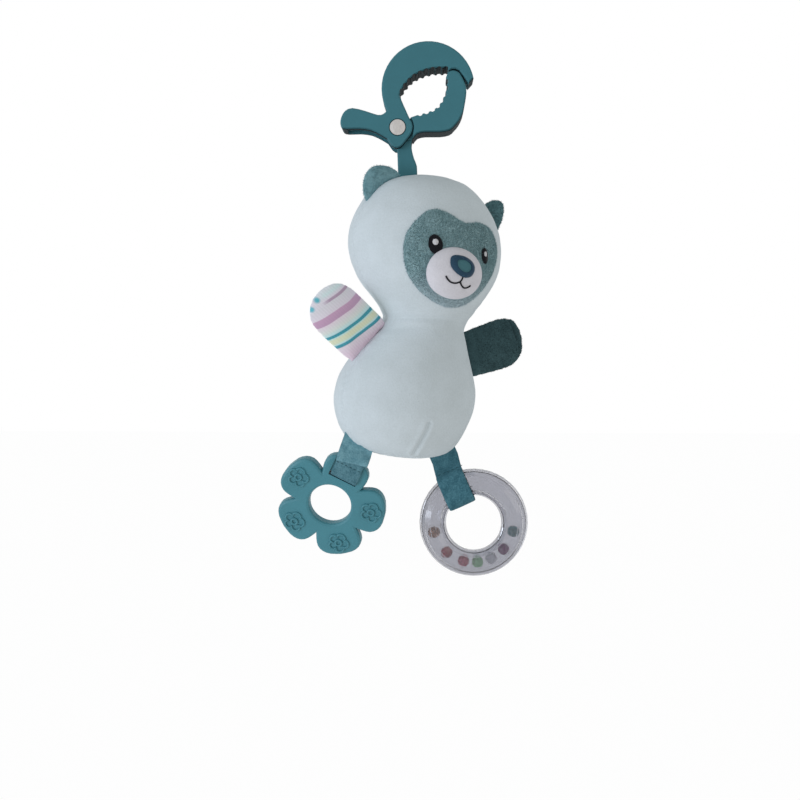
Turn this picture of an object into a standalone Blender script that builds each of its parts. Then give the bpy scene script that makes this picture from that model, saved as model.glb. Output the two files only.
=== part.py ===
"""Hanging pram toy: a sprung clip, a stuffed animal, a flower teether and a rattle ring with loose beads.

Metres, +Z up. The toy hangs from its clip and faces -Y. The origin is the middle of the clip's grip.
Left and right are as seen from the front.
"""

import math

import bmesh
import bpy
from mathutils import Matrix, Vector
from mathutils.bvhtree import BVHTree

# Gaps and overruns shared by all pieces
GAP = 0.0003
HINGE_GAP = 0.0006
CUT_OVERRUN = 0.002

# Clip: both jaws turn on one rivet, and their outlines are measured from it
RIVET_X = -0.01415
RIVET_Z = -0.01913
CLIP_DEPTH = 0.0170
CLIP_EDGE_ROUND = 0.0009
CHEEK_THICKNESS = 0.0026
JAW_REACH = 0.0421
HOOK_RADIUS_SHARE = 0.57
HOOK_CENTRE_SHARES = (0.373, 0.4727)
HOOK_TIP_ANGLE = 12.0
HOOK_BACK_ANGLE = 203.0
BOSS_RADIUS = 0.0079
BOSS_LOBE = 0.0030
BOSS_LOBE_ANGLE = 268.0
BOSS_LOBE_SPREAD = 25.0
BOSS_START_ANGLE = 228.0
BOSS_END_ANGLE = 378.0
KNUCKLE_RADIUS = 0.0074
CLIP_OPENING = 30.0
GRIP_SIZE_SHARE = 0.57
GRIP_SIZE = GRIP_SIZE_SHARE * JAW_REACH
GRIP_TOP_SHARES = (
    (0.26, 0.19), (0.075, 0.60), (0.055, 0.71), (0.16, 0.90), (0.375, 1.105), (0.70, 1.23), (1.04, 1.25),
)
GRIP_LOW_SHARES = (
    (0.42, 0.26), (0.70, 0.342), (0.87, 0.446), (0.975, 0.61), (1.04, 0.78), (1.06, 0.91), (1.04, 1.06),
)
JAW_TIP_SHARES = (
    (0.617, 0.665), (0.655, 0.686), (0.70, 0.686), (0.745, 0.667), (0.774, 0.632), (0.805, 0.575),
)
JAW_BACK_SHARES = ((0.833, 0.505), (0.843, 0.42), (0.826, 0.29), (0.80, 0.168), (0.752, 0.07), (0.70, 0.01))
JAW_FOOT_SHARES = ((0.643, -0.04), (0.52, -0.062), (0.34, -0.062), (0.24, -0.085), (0.19, -0.145))
LEVER_REACH = 0.0296
LEVER_TOP_SHARES = (
    (0.19, 0.29), (0.25, 0.235), (0.35, 0.22), (0.57, 0.29), (0.79, 0.34), (0.92, 0.29), (0.99, 0.17),
)
LEVER_LOW_SHARES = ((1.0, 0.06), (0.97, -0.01), (0.88, -0.035), (0.66, -0.03), (0.46, -0.06), (0.30, -0.135))
LEVER_WALL = 0.0022
TOOTH_RADIUS = 0.0014
TOOTH_PITCH = 0.0034
TOOTH_DEPTH_SHARE = 0.70

# Rivet and torsion spring
PIN_RADIUS = 0.0020
RIVET_HEAD_RADIUS = 0.0040
RIVET_HEAD_GAP = 0.0005
RIVET_HEAD_THICKNESS = 0.0008
RIVET_DOME = 0.0005
RIVET_RECESS = 0.0009
SPRING_WIRE_RADIUS = 0.0004
SPRING_COIL_RADIUS = 0.0031
SPRING_TURNS = 3
SPRING_PITCH = 0.0014
SPRING_TURN_POINTS = 10
SPRING_LEVER_LEG = 0.0170
SPRING_JAW_LEG = 0.0062
SPRING_SLOT_DEPTH = 0.0062

# Stem of the lower jaw, sewn into the top of the head
STEM_DEPTH = 0.0086
STEM_SIZE = 0.0200
STEM_RIGHT_SHARES = (
    (0.40, -0.20), (0.36, -0.40), (0.375, -0.585), (0.43, -0.78), (0.50, -0.97), (0.505, -1.25),
)
STEM_LEFT_SHARES = ((0.01, -1.25), (0.0, -0.97), (-0.015, -0.60), (-0.04, -0.40), (-0.16, -0.28))
ANCHOR_WIDTH = 0.0200
ANCHOR_THICKNESS = 0.0030
ANCHOR_DEPTH = 0.0380

# Stuffed toy: head and body lofted along a bent spine, turned and leaning in the plane of the front
PLUSH_YAW = 26.5
PLUSH_ROLL = 12.0
HEAD_TOP_Z = -0.0428
NECK_Z = -0.1176
BODY_BOTTOM_Z = -0.1920
HEAD_HALF_WIDTH = 0.0403
BODY_HALF_WIDTH = 0.0380
HEAD_CENTRE_Z = -0.0818
HEAD_DEPTH_SHARE = 0.95
BODY_DEPTH_SHARE = 0.88
BODY_FLATTENING_SHARE = 0.40
PLUSH_SIDES = 30
HEAD_STATION_SHARES = (
    (0.004, -0.03, 0.15), (0.017, -0.04, 0.30), (0.055, -0.05, 0.53), (0.115, -0.045, 0.69),
    (0.19, -0.035, 0.80), (0.28, -0.03, 0.90), (0.40, -0.014, 0.98), (0.52, -0.002, 1.0),
    (0.63, 0.018, 0.966), (0.74, 0.036, 0.89), (0.83, 0.05, 0.775), (0.91, 0.06, 0.665),
    (0.965, 0.05, 0.595), (1.0, 0.03, 0.555),
)
BODY_STATION_SHARES = (
    (0.0, 0.03, 0.588), (0.045, -0.03, 0.585), (0.105, -0.10, 0.645), (0.175, -0.15, 0.73),
    (0.25, -0.195, 0.81), (0.33, -0.235, 0.89), (0.42, -0.26, 0.96), (0.53, -0.276, 1.0),
    (0.64, -0.28, 0.99), (0.73, -0.288, 0.94), (0.82, -0.285, 0.85), (0.89, -0.26, 0.745),
    (0.94, -0.21, 0.60), (0.975, -0.14, 0.41), (0.993, -0.10, 0.22),
)
BODY_POLE_SHARE = -0.09

# Ears and arms: sewn along a thin edge and swelling away from it
EAR_ANGLE = 51.0
EAR_WIDTH = 0.0216
EAR_HEIGHT = 0.0110
EAR_THICKNESS = 0.0050
EAR_OUTLINE_SHARES = ((0.0, 0.50), (0.15, 0.48), (0.40, 0.42), (0.65, 0.33), (0.87, 0.20), (0.97, 0.09))
ARM_LENGTH = 0.0372
ARM_WIDTH = 0.0266
ARM_THICKNESS = 0.0105
ARM_OUTLINE_SHARES = (
    (0.0, 0.46), (0.05, 0.475), (0.30, 0.50), (0.62, 0.515), (0.80, 0.46), (0.92, 0.33), (0.98, 0.17),
)
ARM_LEFT_ROOT_SHARES = (0.02, 0.31)
ARM_RIGHT_ROOT_SHARES = (0.12, 0.44)
SEWN_EDGE = 0.0014
SWELL_SHARES = (1.0, 0.88, 0.70, 0.45, 0.20)

# Face, placed from the middle of the head: across, forward and up
MASK_THICKNESS = 0.0010
MASK_WIDTH = 0.0540
MASK_HEIGHT = 0.0500
MASK_DROP = 0.0025
MASK_OUTLINE_SHARES = (
    (0.0, 0.364), (0.075, 0.384), (0.157, 0.41), (0.24, 0.422), (0.324, 0.39), (0.448, 0.23),
    (0.485, 0.10), (0.478, -0.03), (0.437, -0.16), (0.361, -0.29), (0.25, -0.404), (0.12, -0.476),
    (0.0, -0.496),
)
MUZZLE_HALF_WIDTH = 0.0152
MUZZLE_HALF_HEIGHT = 0.0129
MUZZLE_SWELL = 0.0085
MUZZLE_FORWARD_SHARE = 0.943
MUZZLE_DROP = 0.0100
NOSE_HALF_WIDTH = 0.0066
NOSE_HALF_HEIGHT = 0.0048
NOSE_SWELL = 0.0028
NOSE_RISE = 0.0038
NOSE_POINT_SHARE = 0.15
EYE_HALF_WIDTH = 0.0034
EYE_HALF_HEIGHT = 0.0048
EYE_LEFT_ACROSS = -0.0128
EYE_RIGHT_ACROSS = 0.0161
EYE_UP = 0.0020
EYE_LEAN = 22.0
EYE_THICKNESS = 0.0007

# Legs: two ribbons sewn into the body's underside
RIBBON_WIDTH = 0.0145
RIBBON_THICKNESS = 0.0011
RIBBON_END_RADIUS = 0.0014
TEETHER_PARTING = 0.0012
RING_PARTING = 0.0025
TEETHER_ACROSS_SHARE = -1.3316
TEETHER_Y = -0.0130
TEETHER_DROP = 0.0253
TEETHER_LEAN = 26.0
TEETHER_REST_SWING = 17.0
RING_ACROSS_SHARE = 0.702
RING_Y = 0.0090
RING_DROP = 0.0367
RING_LEAN = -24.0

# Flower teether
PETALS = 5
PETAL_REACH = 0.0298
PETAL_SHARES = ((0.52, 0.3778), (0.64, 0.405), (0.78, 0.41), (0.90, 0.34), (0.975, 0.20), (1.0, 0.0))
TEETHER_HOLE_RADIUS = 0.0114
TEETHER_THICKNESS = 0.0062
TEETHER_EDGE_ROUND = 0.0014
TEETHER_TILT = 12.0
BAR_LENGTH = 0.0110
BAR_THICKNESS = 0.0050
SLOT_WIDTH = 0.0024
MOTIF_RADIUS = 0.0060
MOTIF_VALLEY_SHARE = 0.62
MOTIF_BLUNTNESS_SHARE = 0.42
MOTIF_POINTS = 25
MOTIF_LINE = 0.0011
MOTIF_EYE_RADIUS = 0.0022
MOTIF_HEIGHT = 0.0005
MOTIF_SEAT = 0.0224

# Rattle ring and its beads
RING_RADIUS = 0.0222
TUBE_HALF_WIDTH = 0.0072
TUBE_HALF_DEPTH = 0.0062
TUBE_WALL = 0.0013
RING_STEPS = 44
TUBE_POINTS = 7
BEAD_RADIUS = 0.0032
BEAD_ANGLES = (195.0, 229.0, 256.0, 276.0, 296.0, 318.0, 347.0)
BEAD_SIDES = 12
BEAD_RINGS = 8

COLOURS = {
    "teal_plastic": (0.050, 0.155, 0.170),
    "steel": (0.62, 0.60, 0.58),
    "pale_velour": (0.52, 0.60, 0.63),
    "teal_velour": (0.060, 0.120, 0.130),
    "mask_velour": (0.110, 0.190, 0.200),
    "white_plush": (0.72, 0.70, 0.72),
    "navy_thread": (0.015, 0.025, 0.045),
    "black_thread": (0.010, 0.010, 0.014),
    "striped_cotton": (0.60, 0.55, 0.56),
    "teether_rubber": (0.055, 0.170, 0.190),
    "clear_plastic": (0.80, 0.80, 0.80),
}
BEAD_COLOURS = (
    (0.30, 0.19, 0.15), (0.28, 0.05, 0.08), (0.45, 0.16, 0.20), (0.30, 0.50, 0.32), (0.62, 0.62, 0.66),
    (0.13, 0.04, 0.11), (0.03, 0.13, 0.14),
)


def finish(name, colour, roughness, metallic=0.0, alpha=1.0):
    """A plain Principled material."""
    made = bpy.data.materials.new(name)
    made.use_nodes = True
    shader = made.node_tree.nodes["Principled BSDF"]
    shader.inputs["Base Color"].default_value = (*colour, 1.0)
    shader.inputs["Roughness"].default_value = roughness
    shader.inputs["Metallic"].default_value = metallic
    shader.inputs["Alpha"].default_value = alpha
    return made


def clear_scene():
    for old in list(bpy.data.objects):
        bpy.data.objects.remove(old)


def pivot(name, place):
    """An empty on a joint's axis."""
    empty = bpy.data.objects.new(name, None)
    bpy.context.scene.collection.objects.link(empty)
    empty.matrix_world = place
    return empty


def add(name, shape, place, material=None, sharp=35.0):
    """An object from a bmesh, smooth shaded, standing at the given matrix."""
    mesh = bpy.data.meshes.new(name)
    shape.to_mesh(mesh)
    shape.free()
    mesh.shade_smooth()
    mesh.set_sharp_from_angle(angle=math.radians(sharp))
    piece = bpy.data.objects.new(name, mesh)
    bpy.context.scene.collection.objects.link(piece)
    piece.matrix_world = place
    if material:
        mesh.materials.append(material)
    return piece


def carve(piece, name, shape, place, operation="DIFFERENCE"):
    """Cuts a shape from a piece, or joins or intersects it, through a hidden helper object."""
    helper = add(name, shape, place)
    helper.hide_render = True
    helper.display_type = "WIRE"
    boolean = piece.modifiers.new(name, "BOOLEAN")
    boolean.operation = operation
    boolean.object = helper
    boolean.solver = "EXACT"
    return helper


def even_shading(piece):
    """Flat faces shade flat next to rounded edges."""
    weighted = piece.modifiers.new("even_shading", "WEIGHTED_NORMAL")
    weighted.keep_sharp = True


def parent(piece, empty):
    """Hangs a piece on an empty without moving it."""
    place = piece.matrix_world.copy()
    piece.parent = empty
    piece.matrix_parent_inverse = empty.matrix_world.inverted()
    piece.matrix_world = place


def skin(sections, ring=False, shape=None):
    """A closed surface through sections that are loops of points or single points."""
    shape = shape or bmesh.new()
    rows = [[shape.verts.new(p) for p in section] for section in sections]
    pairs = list(zip(rows, rows[1:]))
    if ring:
        pairs.append((rows[-1], rows[0]))
    for low, high in pairs:
        count = max(len(low), len(high))
        for i in range(count):
            j = (i + 1) % count
            corners = [low[i % len(low)], low[j % len(low)], high[j % len(high)], high[i % len(high)]]
            shape.faces.new(dict.fromkeys(corners))
    if not ring:
        for end in (rows[0], rows[-1]):
            if len(end) > 2:
                shape.faces.new(end)
    bmesh.ops.recalc_face_normals(shape, faces=shape.faces)
    return shape


def catmull_rom(p, q, r, s, t):
    """A value at a share t of the way from q to r, with p before and s after them."""
    bend = 2 * p - 5 * q + 4 * r - s
    twist = 3 * q - p - 3 * r + s
    return (2 * q + (r - p) * t + bend * t**2 + twist * t**3) / 2


def smooth_path(points, steps=4, closed=False):
    """Points on a Catmull-Rom curve through the given points of any dimension."""
    count = len(points)
    spans = count if closed else count - 1
    path = []
    for i in range(spans):
        if closed:
            a, b, c, d = (points[(i + k) % count] for k in (-1, 0, 1, 2))
        else:
            a, b, c, d = (points[min(max(i + k, 0), count - 1)] for k in (-1, 0, 1, 2))
        for step in range(steps):
            t = step / steps
            path.append(tuple(catmull_rom(p, q, r, s, t) for p, q, r, s in zip(a, b, c, d)))
    if not closed:
        path.append(tuple(points[-1]))
    return path


def scaled(shares, size):
    return [tuple(share * size for share in point) for point in shares]


def arc(radius, start, end, steps, centre=(0.0, 0.0)):
    """Points on an arc, with angles in degrees from +X towards +Z."""
    turns = [math.radians(start + (end - start) * i / steps) for i in range(steps + 1)]
    return [(centre[0] + radius * math.cos(t), centre[1] + radius * math.sin(t)) for t in turns]


def inset(outline, distance):
    """The outline moved inwards by a distance, corner by corner."""
    area = sum(a[0] * b[1] - b[0] * a[1] for a, b in zip(outline, outline[1:] + outline[:1]))
    side = 1 if area > 0 else -1
    moved = []
    for i, here in enumerate(outline):
        before = Vector(outline[i - 1])
        after = Vector(outline[(i + 1) % len(outline)])
        along = (Vector(here) - before).normalized()
        onward = (after - Vector(here)).normalized()
        inward = (Vector((-along.y, along.x)) + Vector((-onward.y, onward.x))) * side
        reach = distance / max(inward.length / 2, 0.5)
        moved.append(tuple(Vector(here) + inward.normalized() * reach))
    return moved


def slab(outline, depth, rounding=0.0, shape=None):
    """An outline in X and Z drawn out along Y about the middle, with its edges rounded over."""
    half = depth / 2
    if rounding:
        steps = [(half, rounding), (half - 0.3 * rounding, 0.3 * rounding), (half - rounding, 0.0)]
    else:
        steps = [(half, 0.0)]
    levels = [(-y, inwards) for y, inwards in steps] + [(y, inwards) for y, inwards in reversed(steps)]
    loops = {inwards: inset(outline, inwards) if inwards else outline for _, inwards in steps}
    return skin([[(x, y, z) for x, z in loops[inwards]] for y, inwards in levels], shape=shape)


def turned(profile, sides):
    """A round piece about the Y axis, from (radius, y) points. A radius of zero closes an end."""
    sections = []
    for radius, y in profile:
        if radius == 0.0:
            sections.append([(0.0, y, 0.0)])
            continue
        angles = [2 * math.pi * i / sides for i in range(sides)]
        sections.append([(radius * math.cos(a), y, radius * math.sin(a)) for a in angles])
    return skin(sections)


def ball(half_sizes, sides, rings):
    """An ellipsoid with its poles on Y."""
    x, y, z = half_sizes
    sections = [[(0.0, -y, 0.0)]]
    for i in range(1, rings):
        rise = -math.cos(math.pi * i / rings)
        girth = math.sin(math.pi * i / rings)
        angles = [2 * math.pi * k / sides for k in range(sides)]
        sections.append([(x * girth * math.cos(a), y * rise, z * girth * math.sin(a)) for a in angles])
    sections.append([(0.0, y, 0.0)])
    return skin(sections)


def tube(path, radius, sides=6):
    """A wire through a path, its section carried along without twisting."""
    points = [Vector(p) for p in path]
    sections = []
    across = None
    for i, here in enumerate(points):
        along = (points[min(i + 1, len(points) - 1)] - points[max(i - 1, 0)]).normalized()
        across = across or along.orthogonal()
        across = (across - along * across.dot(along)).normalized()
        beside = along.cross(across)
        angles = [2 * math.pi * k / sides for k in range(sides)]
        sections.append([here + (across * math.cos(a) + beside * math.sin(a)) * radius for a in angles])
    return skin(sections)


def boss_radius(angle, grow=0.0):
    """The cheek's radius round the rivet, with the lobe that covers the root of the stem."""
    away = (angle - BOSS_LOBE_ANGLE) / BOSS_LOBE_SPREAD
    return BOSS_RADIUS + BOSS_LOBE * math.exp(-(away**2)) + grow


def polar(radius_at, start, end, steps):
    angles = [start + (end - start) * i / steps for i in range(steps + 1)]
    turns = [(radius_at(a), math.radians(a)) for a in angles]
    return [(radius * math.cos(turn), radius * math.sin(turn)) for radius, turn in turns]


def teeth(path, outward):
    """Round grooves across the grip, at an even pitch along its edge and sunk towards the jaw."""
    grooves = bmesh.new()
    travelled = 0.0
    due = TOOTH_PITCH / 2
    for a, b in zip(path, path[1:]):
        start, end = Vector(a), Vector(b)
        length = (end - start).length
        while due <= travelled + length:
            place = start.lerp(end, (due - travelled) / length)
            along = (end - start).normalized()
            off = Vector((-along.y, along.x)) * outward * TOOTH_RADIUS * (TOOTH_DEPTH_SHARE - 1)
            circle = arc(TOOTH_RADIUS, 0.0, 360.0, 8, tuple(place + off))[:-1]
            slab(circle, CLIP_DEPTH + CUT_OVERRUN, shape=grooves)
            due += TOOTH_PITCH
        travelled += length
    return grooves


def hook_outline():
    """The upper jaw from the hook's tip over its back, along the lever, round the boss and up the grip."""
    centre = scaled([HOOK_CENTRE_SHARES], JAW_REACH)[0]
    back = arc(HOOK_RADIUS_SHARE * JAW_REACH, HOOK_TIP_ANGLE, HOOK_BACK_ANGLE, 26, centre)
    lever = smooth_path([(-x, z) for x, z in scaled(LEVER_TOP_SHARES + LEVER_LOW_SHARES, LEVER_REACH)], 2)
    boss = polar(boss_radius, BOSS_START_ANGLE, BOSS_END_ANGLE, 18)
    grip = smooth_path(scaled(GRIP_TOP_SHARES, GRIP_SIZE), 3)
    nest = inset_nest()
    return back + lever + boss + grip + nest


def inset_nest():
    """The inside of the hook's end: over the lower jaw's tip with a gap, then clear of its swing."""
    reach = JAW_REACH + GAP
    crown = [Vector(p) for p in scaled(JAW_TIP_SHARES[:4], JAW_REACH)]
    lifted = [tuple(p + p.normalized() * GAP * 2) for p in crown]
    last = math.degrees(math.atan2(lifted[-1][1], lifted[-1][0]))
    return lifted + arc(reach + GAP, last - 2.0, 31.0, 4)


def make_clip(colours):
    """Upper jaw, lower jaw with its stem, rivet and spring, all about the rivet's axis."""
    at_rivet = Matrix.Translation((RIVET_X, 0.0, RIVET_Z))
    knuckle_depth = CLIP_DEPTH - 2 * CHEEK_THICKNESS - 2 * GAP
    hole_radius = PIN_RADIUS + GAP
    hinge = pivot("clip_hinge", at_rivet)

    hook_form = slab(hook_outline(), CLIP_DEPTH, CLIP_EDGE_ROUND)
    hook = add("hook_jaw", hook_form, at_rivet, colours["teal_plastic"])
    slot = arc(KNUCKLE_RADIUS + HINGE_GAP, 42.0, 200.0, 14)
    slot += arc(BOSS_RADIUS + BOSS_LOBE + CUT_OVERRUN, 205.0, 395.0, 14)
    carve(hook, "knuckle_slot", slab(slot, CLIP_DEPTH - 2 * CHEEK_THICKNESS), at_rivet)
    carve(hook, "lever_hollow", slab(lever_hollow(), CLIP_DEPTH - 2 * CHEEK_THICKNESS - GAP), at_rivet)
    grip_top = smooth_path(scaled(GRIP_TOP_SHARES[2:], GRIP_SIZE), 6)
    carve(hook, "hook_teeth", teeth(grip_top, 1), at_rivet)
    head_seat = RIVET_HEAD_RADIUS + RIVET_HEAD_GAP
    seat_face = CLIP_DEPTH / 2 - RIVET_RECESS
    past = CLIP_DEPTH / 2 + CUT_OVERRUN
    bore = [(0.0, -past), (head_seat, -past), (head_seat, -seat_face), (hole_radius, -seat_face)]
    bore += [(radius, -y) for radius, y in reversed(bore)]
    carve(hook, "rivet_bore", turned(bore, 24), at_rivet)
    parent(hook, hinge)

    jaw_shape = slab(jaw_outline(), CLIP_DEPTH, CLIP_EDGE_ROUND)
    jaw = add("lower_jaw", jaw_shape, at_rivet, colours["teal_plastic"])
    for side, name in ((-1, "front_recess"), (1, "back_recess")):
        y = side * (knuckle_depth + CLIP_DEPTH + CUT_OVERRUN) / 2
        recess = slab(polar(swept_boss, 0.0, 352.0, 44), CLIP_DEPTH + CUT_OVERRUN)
        carve(jaw, name, recess, at_rivet @ Matrix.Translation((0.0, y, 0.0)))
    carve(jaw, "stem", slab(stem_outline(), STEM_DEPTH, CLIP_EDGE_ROUND), at_rivet, "UNION")
    low = smooth_path(scaled(GRIP_LOW_SHARES, GRIP_SIZE), 6)
    carve(jaw, "jaw_teeth", teeth(low, -1), at_rivet)
    coil_room = SPRING_COIL_RADIUS + SPRING_WIRE_RADIUS + HINGE_GAP
    opening = -KNUCKLE_RADIUS - CUT_OVERRUN
    slot = arc(coil_room, -90.0, 90.0, 12) + [(opening, coil_room), (opening, -coil_room)]
    carve(jaw, "spring_slot", slab(slot, SPRING_SLOT_DEPTH), at_rivet)
    bore = [(0.0, -past), (hole_radius, -past), (hole_radius, past), (0.0, past)]
    carve(jaw, "pin_bore", turned(bore, 24), at_rivet)

    shoulder = seat_face + GAP
    rim = shoulder + RIVET_HEAD_THICKNESS
    half = [(0.0, rim + RIVET_DOME), (0.6 * RIVET_HEAD_RADIUS, rim + 0.7 * RIVET_DOME)]
    half += [(RIVET_HEAD_RADIUS, rim), (RIVET_HEAD_RADIUS, shoulder), (PIN_RADIUS, shoulder)]
    rivet = half + [(radius, -y) for radius, y in reversed(half)]
    add("clip_rivet", turned(rivet, 24), at_rivet, colours["steel"])
    add("clip_spring", tube(spring_path(), SPRING_WIRE_RADIUS), at_rivet, colours["steel"], 80.0)


def lever_hollow():
    """The scoop under the lever, open below and running into the knuckle's slot."""
    top = [(-x, z) for x, z in scaled(LEVER_TOP_SHARES[2:6], LEVER_REACH)]
    ceiling = [(x, z - LEVER_WALL) for x, z in smooth_path(top, 3)]
    end = (ceiling[-1][0] + LEVER_WALL / 2, 0.0)
    below = -BOSS_RADIUS - BOSS_LOBE
    return [(-PIN_RADIUS, ceiling[0][1])] + ceiling + [end, (end[0], below), (-PIN_RADIUS, below)]


def swept_boss(angle):
    """How far the cheek reaches at an angle over the whole opening of the clip, with a gap."""
    turned_back = [boss_radius(angle - CLIP_OPENING * i / 6) for i in range(7)]
    return max(turned_back) + HINGE_GAP


def jaw_outline():
    """The lower jaw from the knuckle along the grip, round the tip and back along its outer side."""
    grip = smooth_path(scaled(GRIP_LOW_SHARES, GRIP_SIZE), 3)
    tip = smooth_path(scaled(JAW_TIP_SHARES + JAW_BACK_SHARES + JAW_FOOT_SHARES, JAW_REACH), 2)
    return grip + tip + arc(KNUCKLE_RADIUS, 300.0, 40.0, 22)


def stem_outline():
    """The stem from the knuckle down to the anchor that the stuffing holds."""
    right = scaled(STEM_RIGHT_SHARES, STEM_SIZE)
    left = scaled(STEM_LEFT_SHARES, STEM_SIZE)
    middle = (right[-1][0] + left[0][0]) / 2
    half = ANCHOR_WIDTH / 2
    foot = -ANCHOR_DEPTH
    top = foot + ANCHOR_THICKNESS
    anchor = [(right[-1][0], top), (middle + half, top), (middle + half, foot)]
    anchor += [(middle - half, foot), (middle - half, top), (left[0][0], top)]
    root = [(-KNUCKLE_RADIUS / 2, 0.0), (KNUCKLE_RADIUS / 2, 0.0)]
    return smooth_path(right, 2) + anchor + smooth_path(left, 2) + root


def spring_path():
    """A leg along the slot's floor, close turns round the pin and a long leg under the lever."""
    count = SPRING_TURNS * SPRING_TURN_POINTS
    start = -SPRING_PITCH * SPRING_TURNS / 2
    turns = []
    for i in range(count + SPRING_TURN_POINTS // 2 + 1):
        angle = math.radians(-90.0 + 360.0 * i / SPRING_TURN_POINTS)
        y = start + SPRING_PITCH * SPRING_TURNS * i / (count + SPRING_TURN_POINTS / 2)
        turns.append((SPRING_COIL_RADIUS * math.cos(angle), y, SPRING_COIL_RADIUS * math.sin(angle)))
    first, last = turns[0], turns[-1]
    jaw_leg = [(-SPRING_JAW_LEG, first[1], first[2])]
    lever_leg = [(-SPRING_LEVER_LEG / 2, last[1], last[2] + SPRING_WIRE_RADIUS / 2)]
    lever_leg.append((-SPRING_LEVER_LEG, last[1], last[2] + 3 * SPRING_WIRE_RADIUS))
    return jaw_leg + turns + lever_leg


def station(shares, top, height, half_width, depth_share_at, grow):
    """Rings of a soft form, each an ellipse turned with the toy. Grow makes the form larger all over."""
    rings = []
    yaw = math.radians(PLUSH_YAW)
    for down, sway, width in smooth_path(shares, 2):
        across = width * half_width + grow
        deep = width * half_width * depth_share_at(down) + grow
        z = top - height * down
        ring = []
        for i in range(PLUSH_SIDES):
            turn = 2 * math.pi * i / PLUSH_SIDES
            x, y = across * math.cos(turn), deep * math.sin(turn)
            ring.append((
                sway * half_width + x * math.cos(yaw) - y * math.sin(yaw),
                x * math.sin(yaw) + y * math.cos(yaw),
                z,
            ))
        rings.append(ring)
    return rings


def head_depth_share(_):
    return HEAD_DEPTH_SHARE


def head_shape(grow=0.0):
    height = HEAD_TOP_Z - NECK_Z - GAP / 2
    first = HEAD_STATION_SHARES[0]
    rings = station(HEAD_STATION_SHARES, HEAD_TOP_Z, height, HEAD_HALF_WIDTH, head_depth_share, grow)
    crown = [(first[1] * HEAD_HALF_WIDTH, 0.0, HEAD_TOP_Z + grow)]
    return skin([crown] + rings)


def body_depth_share(down):
    """The body's depth over its width: round as the head at the neck, flatter over the belly."""
    blend = min(down / BODY_FLATTENING_SHARE, 1.0)
    return HEAD_DEPTH_SHARE + (BODY_DEPTH_SHARE - HEAD_DEPTH_SHARE) * blend


def body_shape(grow=0.0):
    top = NECK_Z - GAP / 2
    height = top - BODY_BOTTOM_Z
    rings = station(BODY_STATION_SHARES, top, height, BODY_HALF_WIDTH, body_depth_share, grow)
    base = [(BODY_POLE_SHARE * BODY_HALF_WIDTH, 0.0, BODY_BOTTOM_Z - grow)]
    return skin(rings + [base])


def surface_of(shape):
    """A search tree over a form, to seat pieces on its surface."""
    bmesh.ops.triangulate(shape, faces=shape.faces[:])
    tree = BVHTree.FromBMesh(shape)
    shape.free()
    return tree


def oval(half_width, half_height, point_share=0.0, count=20):
    """An oval outline in X and Z, narrowed towards its lower end by a share."""
    outline = []
    for i in range(count):
        turn = 2 * math.pi * i / count
        rise = math.sin(turn)
        outline.append((half_width * math.cos(turn) * (1 + point_share * rise), half_height * rise))
    return outline


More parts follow.
